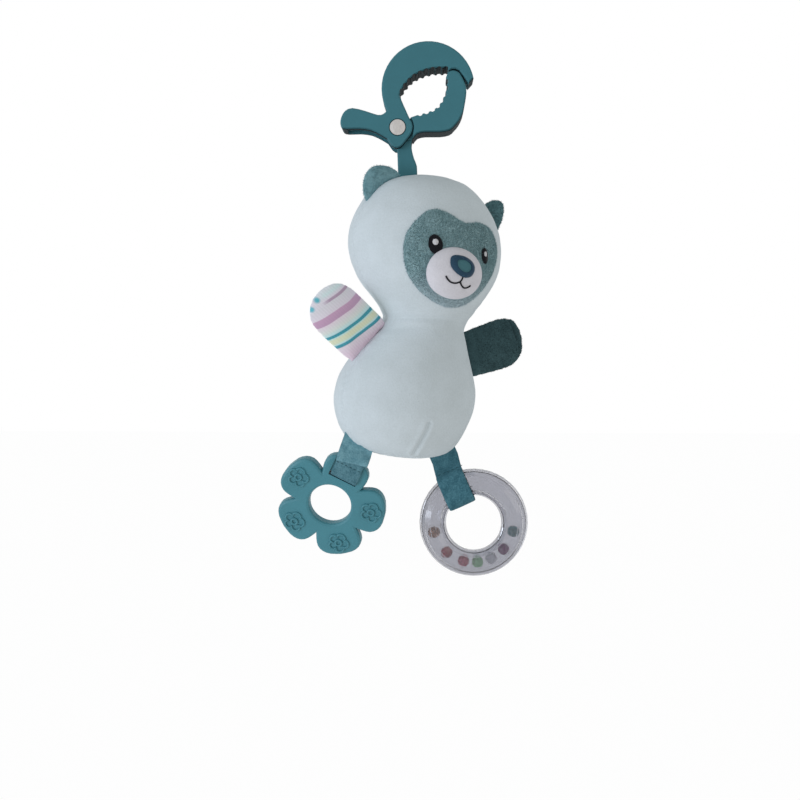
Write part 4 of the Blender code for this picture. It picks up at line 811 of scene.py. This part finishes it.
def seam_ring(share, sides):
    if share == 0.0:
        place, normal = dropped(mask_surface, 0.0, -MUZZLE_DROP)
        return [place + normal * 0.1 * MM]
    ring = []
    for i in range(sides):
        t = 2 * math.pi * i / sides
        place, normal = dropped(mask_surface, MUZZLE_ACROSS * share * math.cos(t),
                                MUZZLE_UP * share * math.sin(t) - MUZZLE_DROP)
        ring.append(place + normal * 0.1 * MM)
    return ring


muzzle = piece_from("muzzle_dome", skinned(muzzle_rows()), plush_white)
finer = muzzle.modifiers.new("finer", "SUBSURF")
finer.levels = finer.render_levels = 1
apply_modifiers(muzzle)
muzzle_surface = surface_of(muzzle)
print("Muzzle:", len(muzzle.data.polygons), "faces")

# %% [markdown]
# ## Embroidery
# The nose is a padded satin stitch: a teal middle with a thick navy rim. Eyes are black satin ovals with a white
# stitch for the glint. The mouth is one line of thread. Satin stitches lie side by side across a shape, so each
# is a short path from edge to edge, lifted in its middle, and the thread tree turns all of them into thread.

# %% Satin stitch
def satin(outline_at, count, surface, lift_mm, crown_mm, turn=0.0, points=7, frame_of=FACE):
    """Thread paths across a shape. outline_at(share) gives the low and the high end of the stitch there."""
    paths = []
    for k in range(count):
        low, high = outline_at((k + 0.5) / count)
        path = []
        for i in range(points):
            t = i / (points - 1)
            x, z = low[0] + (high[0] - low[0]) * t, low[1] + (high[1] - low[1]) * t
            place, normal = dropped(surface, x, z, frame_of)
            path.append(place + normal * (lift_mm + crown_mm * math.sin(math.pi * t)) * MM)
        paths.append(path)
    return paths


EYE_LEAN = math.radians(22.0)


def leaned_by(cx, cz, x, z):
    """A place in an oval that leans to the left at its top."""
    return (cx + x * math.cos(EYE_LEAN) - z * math.sin(EYE_LEAN), cz + x * math.sin(EYE_LEAN) + z * math.cos(EYE_LEAN))


def oval_at(cx, cz, half_x, half_z):
    """Stitches across an oval, stacked from its foot to its top."""
    def ends(share):
        rise = -1 + 2 * share
        reach = half_x * math.sqrt(max(1 - rise * rise, 0.0))
        return leaned_by(cx, cz, -reach, rise * half_z), leaned_by(cx, cz, reach, rise * half_z)
    return ends


def oval_points(cx, cz, half_x, half_z, count=28):
    turns = [2 * math.pi * i / count for i in range(count)]
    return [leaned_by(cx, cz, half_x * math.cos(t), half_z * math.sin(t)) for t in turns]


dome = [(0.97, 0.35), (0.85, 0.55), (0.6, 0.7), (0.3, 0.75), (0.0, 0.75)]
face_pieces = {}
EYES_MM = (("eye_left", -12.9, 1.6, 3.3, 4.6), ("eye_right", 15.4, 1.9, 1.9, 3.8))
for name, *numbers in EYES_MM:
    cx, cz, wide, tall = (v * MM for v in numbers)
    pad = patch(name + "_pad", oval_points(cx, cz, wide, tall), mask_surface, black_thread, dome)
    pad_surface = surface_of(pad)
    floss = threads(name + "_floss", satin(oval_at(cx, cz, wide + 0.05 * MM, tall + 0.05 * MM), 26, mask_surface,
                                           0.55, 0.45), black_thread, 0.24, 5)
    glint = threads(name + "_glint", satin(oval_at(cx - 0.4 * MM, cz + 0.24 * tall, 0.4 * wide, 0.29 * tall), 7,
                                           mask_surface, 1.0, 0.45), white_thread, 0.26, 5)
    face_pieces[name] = (pad, floss, glint)
print("Eyes:", [p.name for group in face_pieces.values() for p in group])

# %% Nose
NOSE_X, NOSE_Z = -0.2 * MM, -6.2 * MM
NOSE_MM = ((-6.6, 0.2), (-6.5, 2.8), (-4.8, 4.2), (-1.9, 4.7), (1.3, 4.5), (4.2, 3.5), (6.2, 1.7), (6.7, -0.6),
           (5.6, -3.3), (3.4, -4.7), (0.8, -4.9), (-2.0, -4.2), (-4.4, -2.9), (-6.0, -1.4))


def nose_ring(share):
    ring = []
    for x, z in through([(x * share * MM, z * share * MM) for x, z in NOSE_MM], 4, closed=True):
        ring.append((NOSE_X + x, NOSE_Z + z))
    return ring


nose_pad = patch("nose_pad", nose_ring(0.97), muzzle_surface, sea_thread,
                 [(0.97, 0.7), (0.9, 1.1), (0.7, 1.5), (0.4, 1.6), (0.2, 1.6), (0.0, 1.6)])
inner, outer = nose_ring(0.56), nose_ring(1.0)
rim_paths = []
for k in range(len(outer)):
    for part in (0.0, 0.5):
        ends = []
        for ring in (inner, outer):
            a, b = np.array(ring[k]), np.array(ring[(k + 1) % len(ring)])
            ends.append(a + (b - a) * part)
        path = []
        for t in (0.0, 0.25, 0.5, 0.75, 1.0):
            x, z = ends[0] + (ends[1] - ends[0]) * t
            place, normal = dropped(muzzle_surface, x, z)
            path.append(place + normal * (1.75 - 1.45 * t ** 2.2) * MM)
        rim_paths.append(path)
nose_rim = threads("nose_rim_floss", rim_paths, navy_thread, 0.27, 5)
print("Nose:", len(rim_paths), "rim stitches")

# %% Mouth
MOUTH_MM = (
    ((0.7, -10.9), (0.5, -12.6), (-0.1, -13.8)),
    ((-0.1, -13.8), (-2.2, -14.9), (-4.6, -14.9), (-6.6, -13.8), (-7.8, -12.5)),
    ((-0.1, -13.8), (1.5, -15.4), (3.2, -16.2), (5.0, -15.7), (6.5, -14.4)),
)
mouth_paths = [on_surface([dropped(muzzle_surface, x * MM, z * MM)[0] for x, z in through(line, 5)],
                          muzzle_surface, 0.12) for line in MOUTH_MM]
mouth = threads("mouth_thread", mouth_paths, black_thread, 0.44)
print("Mouth lines:", len(mouth_paths))

# %% [markdown]
# ## Ears and arms
# Each is two pieces of cloth sewn round the edge and lightly stuffed. The seam stays thin while the middle
# swells, and along the seam the cloth puckers a little. A flat outline gives the shape, a profile its
# thickness, and cloth pressure pinned along the seam gives the puckers.

# %% Stuffed limbs
EAR_SHARES = ((-0.25, 0.51), (0.0, 0.50), (0.15, 0.48), (0.40, 0.42), (0.65, 0.33), (0.87, 0.20), (0.97, 0.09))
ARM_LEFT_SHARES = ((-0.08, 0.50), (0.0, 0.515), (0.05, 0.525), (0.30, 0.53), (0.62, 0.525), (0.80, 0.47), (0.92, 0.335), (0.98, 0.17))
ARM_RIGHT_SHARES = ((0.0, 0.47), (0.05, 0.485), (0.30, 0.51), (0.62, 0.53), (0.80, 0.49), (0.92, 0.37), (0.98, 0.20))


def limb_rows(shares, length, width, thick, skew=0.0, rim_mm=1.3):
    """Rings of a limb in its own frame, from its back crown over the seam to its front crown."""
    upper = through([(x * length, z * width) for x, z in shares], 4)
    outline = [(x, z) for x, z in upper] + [(length, 0.0)] + [(x, -z) for x, z in reversed(upper)]
    outline = [(x, z + skew * x) for x, z in outline]
    fuller = []
    for (ax, az), (bx, bz) in zip(outline, outline[1:] + outline[:1]):
        steps = max(1, round(math.dist((ax, az), (bx, bz)) / (1.2 * MM)))
        fuller += [(ax + (bx - ax) * k / steps, az + (bz - az) * k / steps) for k in range(steps)]
    rows = []
    lift = skew * length / 2
    for side in (1, -1):
        shares_in = [k / 9 for k in range(1, 10)] if side == 1 else [k / 9 for k in range(9, 0, -1)]
        for share in shares_in:
            y = rim_mm * MM / 2 + (thick / 2 - rim_mm * MM / 2) * (1 - share ** 2.3)
            middle = length / 2
            rows.append([(middle + (x - middle) * share, side * y, lift + (z - lift) * share) for x, z in fuller])
    return [[(length / 2, thick / 2, lift)]] + rows + [[(length / 2, -thick / 2, lift)]]


def limb(name, shares, length_mm, width_mm, thick_mm, place, material, voxel_mm, skew=0.0):
    shape = skinned(limb_rows(shares, length_mm * MM, width_mm * MM, thick_mm * MM, skew))
    piece = piece_from(name, shape, material, place)
    own = place.inverted()
    outline_rows = limb_rows(shares, length_mm * MM, width_mm * MM, thick_mm * MM, skew)
    edge = np.array([(x, z) for x, _, z in outline_rows[9]])

    def seam_weight(points):
        weights = []
        for p in points:
            q = own @ Vector(p)
            near = np.min(np.hypot(edge[:, 0] - q.x, edge[:, 1] - q.z))
            weights.append(max(0.0, 1.0 - near / (1.5 * MM)))
        return weights
    blown_up(piece, voxel_mm, 0.7, pinned=seam_weight)
    smoother = piece.modifiers.new("smooth", "SMOOTH")
    smoother.iterations = 2
    finer = piece.modifiers.new("finer", "SUBSURF")
    finer.levels = finer.render_levels = 1
    apply_modifiers(piece)
    return piece


arm_left = limb("arm_left_pad", ARM_LEFT_SHARES, 37.2, 26.6, 10.5, ARM_LEFT, striped, 1.1)
arm_right = limb("arm_right_pad", ARM_RIGHT_SHARES, 37.4, 26.8, 10.5, ARM_RIGHT, teal_velour_painted_shade, 1.1)
ear_left = limb("ear_left_pad", EAR_SHARES, 10.6, 23.0, 5.0, EAR_LEFT, teal_velour_painted_light, 0.8)
ear_right = limb("ear_right_pad", EAR_SHARES, 11.0, 17.2, 5.0, EAR_RIGHT, teal_velour, 0.8, 0.36)
ARM_CREASE_MM = ((30.2, 13.6), (31.6, 7.0), (32.7, 1.1), (33.7, -4.8))


def press_fold(piece, place, line_mm, depth_mm, spread_mm):
    """A fold pressed into the front of a limb along a line in its own frame, with a soft roll beside it."""
    own = place.inverted()
    line = [Vector((x, 0.0, z)) * MM for x, z in line_mm]
    start = [(vertex.co.copy(), vertex.normal.copy()) for vertex in piece.data.vertices]
    pressed = []
    for p, n in start:
        q = own @ p
        push = 0.0
        if q.y < 0:
            q.y = 0.0
            near = distance_to_line(q, line) / MM
            push = -depth_mm * math.exp(-(near / spread_mm) ** 2)
            push += 0.5 * depth_mm * math.exp(-((near - 2.4 * spread_mm) / (1.2 * spread_mm)) ** 2)
        pressed.extend(p + n * push * MM)
    piece.data.vertices.foreach_set("co", pressed)
    piece.data.update()


press_fold(arm_right, ARM_RIGHT, ARM_CREASE_MM, 0.8, 0.7)
print("Limbs:", [len(p.data.polygons) for p in (arm_left, arm_right, ear_left, ear_right)])

# %% [markdown]
# ## Ribbons
# Each leg is a doubled strip: it leaves the body, parts round the bar or the ring, and comes back. A strap is
# too thin for cloth pressure, so its profile is drawn directly, as the rounded outline round what it holds,
# and swept across its width with a small wave.

# %% Ribbon strips
def convex(points):
    points = sorted(set(points))
    halves = []
    for row in (points, points[::-1]):
        edge = []
        for p in row:
            while len(edge) > 1:
                (ax, az), (bx, bz) = edge[-2:]
                if (bx - ax) * (p[1] - az) - (bz - az) * (p[0] - ax) > 0:
                    break
                edge.pop()
            edge.append(p)
        halves += edge[:-1]
    return halves


print("Convex outline helper ready")

def loop_path(half_gap, half_height, corner, middle, apex, thick, top=0.6):
    """The middle line of a ribbon in millimetres: down its front, round what it holds, and up its back."""
    box = []
    for x, z, start in ((1, 1, 0.0), (-1, 1, 90.0), (-1, -1, 180.0), (1, -1, 270.0)):
        for k in range(7):
            a = math.radians(start + 90.0 * k / 6)
            box.append((x * (half_gap - corner) + (corner + thick / 2) * math.cos(a),
                        middle + z * (half_height - corner) + (corner + thick / 2) * math.sin(a)))
    around = convex(box + [(thick * 0.56, apex), (-thick * 0.56, apex)])
    first = around.index((-thick * 0.56, apex))
    around = around[first:] + around[:first]
    ends = [(-thick * 0.56, top), (-thick * 0.56, apex / 2)]
    run = ends + around + [(-x, z) for x, z in reversed(ends)]
    dense = []
    for a, b in zip(run, run[1:]):
        count = max(1, round(math.dist(a, b) / 0.6))
        dense += [(a[0] + (b[0] - a[0]) * k / count, a[1] + (b[1] - a[1]) * k / count) for k in range(count)]
    return dense + [run[-1]]


def strip(name, path, width, thick, place, material, ridges, bend=0.0, wave=0.18, columns=17):
    """A ribbon of a given width swept along its path. Ridges are (height, lift in mm, spread in mm) on the front."""
    rows = []
    for i, (y, z) in enumerate(path):
        (ay, az), (by, bz) = path[max(i - 1, 0)], path[min(i + 1, len(path) - 1)]
        span = math.hypot(by - ay, bz - az)
        out = Vector((0.0, -(bz - az) / span, (by - ay) / span)) * -1
        lift = 0.0
        if y < 0:
            lift = sum(high * math.exp(-((z - at) / spread) ** 2) for at, high, spread in ridges)
        ring = []
        for face in (1, -1):
            for c in range(columns):
                u = -1 + 2 * c / (columns - 1)
                u = u if face == 1 else -u
                half = thick / 2 * (0.45 if abs(u) == 1 else 1.0)
                sway = wave * math.sin(2.2 * u + 0.35 * z) * min(1.0, abs(z) / 4)
                aside = bend * min(max((-z - 3.0) / 8.0, 0.0), 1.0)
                place_mm = Vector((u * width / 2 + aside, y, z)) + out * (face * half + lift + sway * (face == 1) * 0.5)
                ring.append(place_mm * MM)
        rows.append(ring)
    piece = piece_from(name, skinned(rows), material, place)
    finer = piece.modifiers.new("finer", "SUBSURF")
    finer.levels = finer.render_levels = 1
    apply_modifiers(piece)
    return piece


FOLD_MM = ((-0.6, 8.0), (-2.6, 2.0), (-6.0, -1.6), (-7.2, -3.6), (-7.0, -5.0), (-6.2, -5.2), (-5.6, -4.0),
           (-4.2, -2.5), (-0.5, 1.5), (0.9, 8.0))


def fold_over(name, place, material, width, tilt, columns=21):
    """The ribbon's upper end, a flap that comes out of the seam and hangs over the front of the loop."""
    rows = []
    profile = through(FOLD_MM, 4, closed=True)
    middle = [(y * 0.8 - 0.6, z - 0.3) for y, z in profile]
    for c in range(columns):
        u = -1 + 2 * c / (columns - 1)
        edge = max(0.0, (abs(u) - 0.85) / 0.15)
        ring = []
        for (y, z), (my, mz) in zip(profile, middle):
            low = min(max((3.0 - z) / 5.0, 0.0), 1.0)
            wave = 0.25 * math.sin(3.1 * u + 0.5 * z) * low
            y, z = y + (my - y) * 0.5 * edge, z + (mz - z) * 0.5 * edge
            ring.append(Vector((u * width / 2 - 0.16 * z, y - wave, z + tilt * u * low)) * MM)
        rows.append(ring)
    piece = piece_from(name, skinned(rows), material, place)
    finer = piece.modifiers.new("finer", "SUBSURF")
    finer.levels = finer.render_levels = 1
    apply_modifiers(piece)
    return piece


left_path = loop_path(3.95, 6.25, 1.4, -10.47, -3.55, 1.05, 8.0)
right_path = loop_path(6.55, 8.85, 4.6, -20.1, -8.8, 1.05, 5.0)
ribbon_left = strip("ribbon_left_strip", left_path, 14.8, 1.05, LEG_LEFT, ribbon_painted_shade, (), 0.5)
ribbon_right = strip("ribbon_right_strip", right_path, 15.0, 1.05, LEG_RIGHT, ribbon_dark, ((-9.6, -0.6, 0.7),), -1.4)
ribbon_fold = fold_over("ribbon_left_fold", LEG_LEFT, ribbon_painted_light, 16.8, 2.0)
print("Ribbons:", len(ribbon_left.data.polygons), len(ribbon_right.data.polygons), "faces")

# %% Stitch lines on the ribbons
left_surface, right_surface = surface_of(ribbon_left), surface_of(ribbon_right)


def cross_row(place, surface, z_mm, reach_mm, lift_mm=0.05):
    """A level row across the front of a ribbon."""
    start = [place @ Vector((x * MM, -0.02, z_mm * MM)) for x in np.linspace(-reach_mm, reach_mm, 24)]
    ahead = place.to_3x3() @ Vector((0.0, 1.0, 0.0))
    hits = [surface.ray_cast(p, ahead) for p in start]
    return [place_hit + normal * lift_mm * MM for place_hit, normal, _, _ in hits if place_hit]


left_stitches = stitches("ribbon_left_stitches", [cross_row(LEG_LEFT, left_surface, -8.4, 6.0)], teal_thread, 2.3,
                         1.7, 0.2)
right_stitches = stitches("ribbon_right_stitches", [cross_row(LEG_RIGHT, right_surface, -9.6, 6.3)], teal_thread,
                          2.3, 1.7, 0.2)

# %% [markdown]
# ## Raised flowers on the teether
# Each free petal carries a small moulded flower: an outline that stands up from the face and a ring in its
# middle. A path in the shape of the flower, turned into a round bead by the thread tree, gives the relief.

# %% Petal motifs
FLOWER = LEG_LEFT @ Matrix.Translation((0.0, 0.0, -34.77 * MM))


def small_flower(radius_mm, dip, turn):
    line = []
    for k in range(61):
        t = 2 * math.pi * k / 60
        wave = abs(math.cos(2.5 * (t - turn)))
        r = radius_mm * (dip + (1 - dip) * wave ** 0.42)
        line.append((r * math.cos(t), r * math.sin(t)))
    return line


motif_paths = []
for k in range(1, 5):
    a = math.radians(90.0 + 72.0 * k)
    seat = (22.4 * math.cos(a), 22.4 * math.sin(a))
    eye = [(1.65 * math.cos(t), 1.65 * math.sin(t)) for t in np.linspace(0, 2 * math.pi, 25)]
    for line in (small_flower(5.4, 0.58, a), eye):
        motif_paths.append([FLOWER @ (Vector((seat[0] + x, -3.3, seat[1] + z)) * MM) for x, z in line])
motifs = threads("teether_motif_lines", motif_paths, teether_rubber, 0.6, 8)
print("Motif lines:", len(motif_paths))

# %% [markdown]
# ## Pile at the edges
# Velour shows its pile where a surface turns away and at the rim of the mask, which looks fuzzy. Short fibres
# are planted on the mask, the ears and the dark arm. Each is a three-sided spike, because there are thousands.

# %% Pile fibres
mask_pile = pile("face_mask_pile", mask, mask_velour, 6.0, 0.9, 0.11, 0.8, 3)
PILE_FROM_ROOT = 7.0 * MM
free_part = arm_right.copy()
free_part.data = arm_right.data.copy()
bpy.context.scene.collection.objects.link(free_part)
shape = bmesh.new()
shape.from_mesh(free_part.data)
to_arm = ARM_RIGHT.inverted()
rooted = [face for face in shape.faces if (to_arm @ face.calc_center_median()).x < PILE_FROM_ROOT]
bmesh.ops.delete(shape, geom=rooted, context="FACES")
shape.to_mesh(free_part.data)
shape.free()
arm_pile = pile("arm_right_pile", free_part, teal_velour_painted_shade, 1.6, 0.6, 0.11, 0.7, 5)
bpy.data.objects.remove(free_part)
ear_left_pile = pile("ear_left_pile", ear_left, teal_velour_painted_light, 2.0, 0.8, 0.11, 0.7, 6)
ear_right_pile = pile("ear_right_pile", ear_right, teal_velour, 2.0, 0.8, 0.11, 0.7, 7)

# %% [markdown]
# ## Joining the pieces to the toy
# Every piece rides on the body that carries it, and the CAD nodes it stands for are hidden. The table also
# lists a material slot and, for stuffed pieces, how tightly they are filled; the loop doesn't use these.

# %% Riding and replacing
JOINS = (
    (plush, "toy", ("head", "body"), "pale_velour", 0.9), (mask, "toy", ("face_mask",), "mask_velour", None),
    (muzzle, "toy", ("muzzle",), "white_plush", 0.8), (nose_pad, "toy", ("nose",), "navy_thread", None),
    (nose_rim, "toy", (), "navy_thread", None), (mouth, "toy", (), "black_thread", None),
    (arm_left, "arm_left", ("arm_left",), "striped_cotton", 0.6),
    (arm_right, "arm_right", ("arm_right",), "teal_velour", 0.6),
    (ear_left, "ear_left", ("ear_left",), "teal_velour", 0.5),
    (ear_right, "ear_right", ("ear_right",), "teal_velour", 0.5),
    (ribbon_left, "ribbon_left", ("ribbon_left",), "ribbon", None),
    (ribbon_right, "ribbon_right", ("ribbon_right",), "ribbon", None),
    (ribbon_fold, "ribbon_left", (), "ribbon", None), (left_stitches, "ribbon_left", (), "ribbon", None),
    (right_stitches, "ribbon_right", (), "ribbon", None),
    (motifs, "teether", (), "teether_rubber", None), (mask_pile, "toy", (), "mask_velour", None),
    (arm_pile, "arm_right", (), "teal_velour", None), (ear_left_pile, "ear_left", (), "teal_velour", None),
    (ear_right_pile, "ear_right", (), "teal_velour", None),
)
for piece, body, nodes, slot, fill in JOINS:
    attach(piece, body)
    if nodes:
        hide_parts(*nodes)
for name, (pad, floss, glint) in face_pieces.items():
    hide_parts(name)
    for piece in (pad, floss, glint):
        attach(piece, "toy")

# %% [markdown]
# ## Floor, light and background
# The toy hangs above a pale floor. A large soft lamp at the upper left, a weaker one at the right and an even
# world give the plain light of a product picture. The camera, and what mirrors or glass show, see the world and
# the floor as white.

# %% Stage and light
def white_to_camera(tree):
    """A factor of one for what the camera sees directly, or in gloss or glass."""
    path = add_node(tree, "ShaderNodeLightPath")
    direct = add_node(tree, "ShaderNodeMath", {0: path.outputs["Is Camera Ray"], 1: path.outputs["Is Glossy Ray"]},
                      operation="MAXIMUM")
    shown = add_node(tree, "ShaderNodeMath", {0: direct.outputs[0], 1: path.outputs["Is Transmission Ray"]},
                     operation="MAXIMUM")
    return shown.outputs[0]


world = bpy.data.worlds.new("studio")
bpy.context.scene.world = world
world.use_nodes = True
tree = world.node_tree
soft_light = tree.nodes["Background"]
soft_light.inputs["Color"].default_value = paint("#F2F7F8")
white = add_node(tree, "ShaderNodeBackground", {"Color": (1.0, 1.0, 1.0, 1.0), "Strength": 1.0})
soft_light.inputs["Strength"].default_value = 0.57
choice = add_node(tree, "ShaderNodeMixShader", {"Fac": white_to_camera(tree), 1: soft_light.outputs[0],
                                                2: white.outputs[0]})
tree.links.new(choice.outputs[0], tree.nodes["World Output"].inputs["Surface"])

floor_shape = bmesh.new()
bmesh.ops.create_grid(floor_shape, x_segments=8, y_segments=8, size=1.6)
floor_material, tree, shader, place = new_material("painted_board_white", 0.9)
shader.inputs["Base Color"].default_value = paint("#F2F2F2")
glow = add_node(tree, "ShaderNodeEmission", {"Color": (1.0, 1.0, 1.0, 1.0), "Strength": 1.0})
share = add_node(tree, "ShaderNodeMath", {0: white_to_camera(tree), 1: 0.675, 2: 0.3}, operation="MULTIPLY_ADD")
choice = add_node(tree, "ShaderNodeMixShader", {"Fac": share.outputs[0], 1: shader.outputs[0], 2: glow.outputs[0]})
tree.links.new(choice.outputs[0], tree.nodes["Material Output"].inputs["Surface"])
floor = piece_from("floor", floor_shape, floor_material, Matrix.Translation((0.0, 0.4, -0.43)))


def soft_lamp(name, place, size, power, colour):
    lamp = bpy.data.objects.new(name, bpy.data.lights.new(name, "AREA"))
    bpy.context.scene.collection.objects.link(lamp)
    lamp.data.shape = "DISK"
    lamp.data.size = size
    lamp.data.energy = power
    lamp.data.color = paint(colour)[:3]
    aim = Vector((0.0, 0.0, -0.13)) - Vector(place)
    lamp.matrix_world = Matrix.Translation(place) @ aim.to_track_quat("-Z", "Y").to_matrix().to_4x4()
    return lamp


soft_lamp("window_left", (-1.15, -0.7, -0.28), 0.9, 9.0, "#E8F1FF")
soft_lamp("fill_right", (1.1, -1.0, 0.1), 0.8, 0.8, "#FFF6EA")
scene = bpy.context.scene
scene.view_settings.view_transform = "Standard"

# %% Finish
bpy.context.view_layer.update()
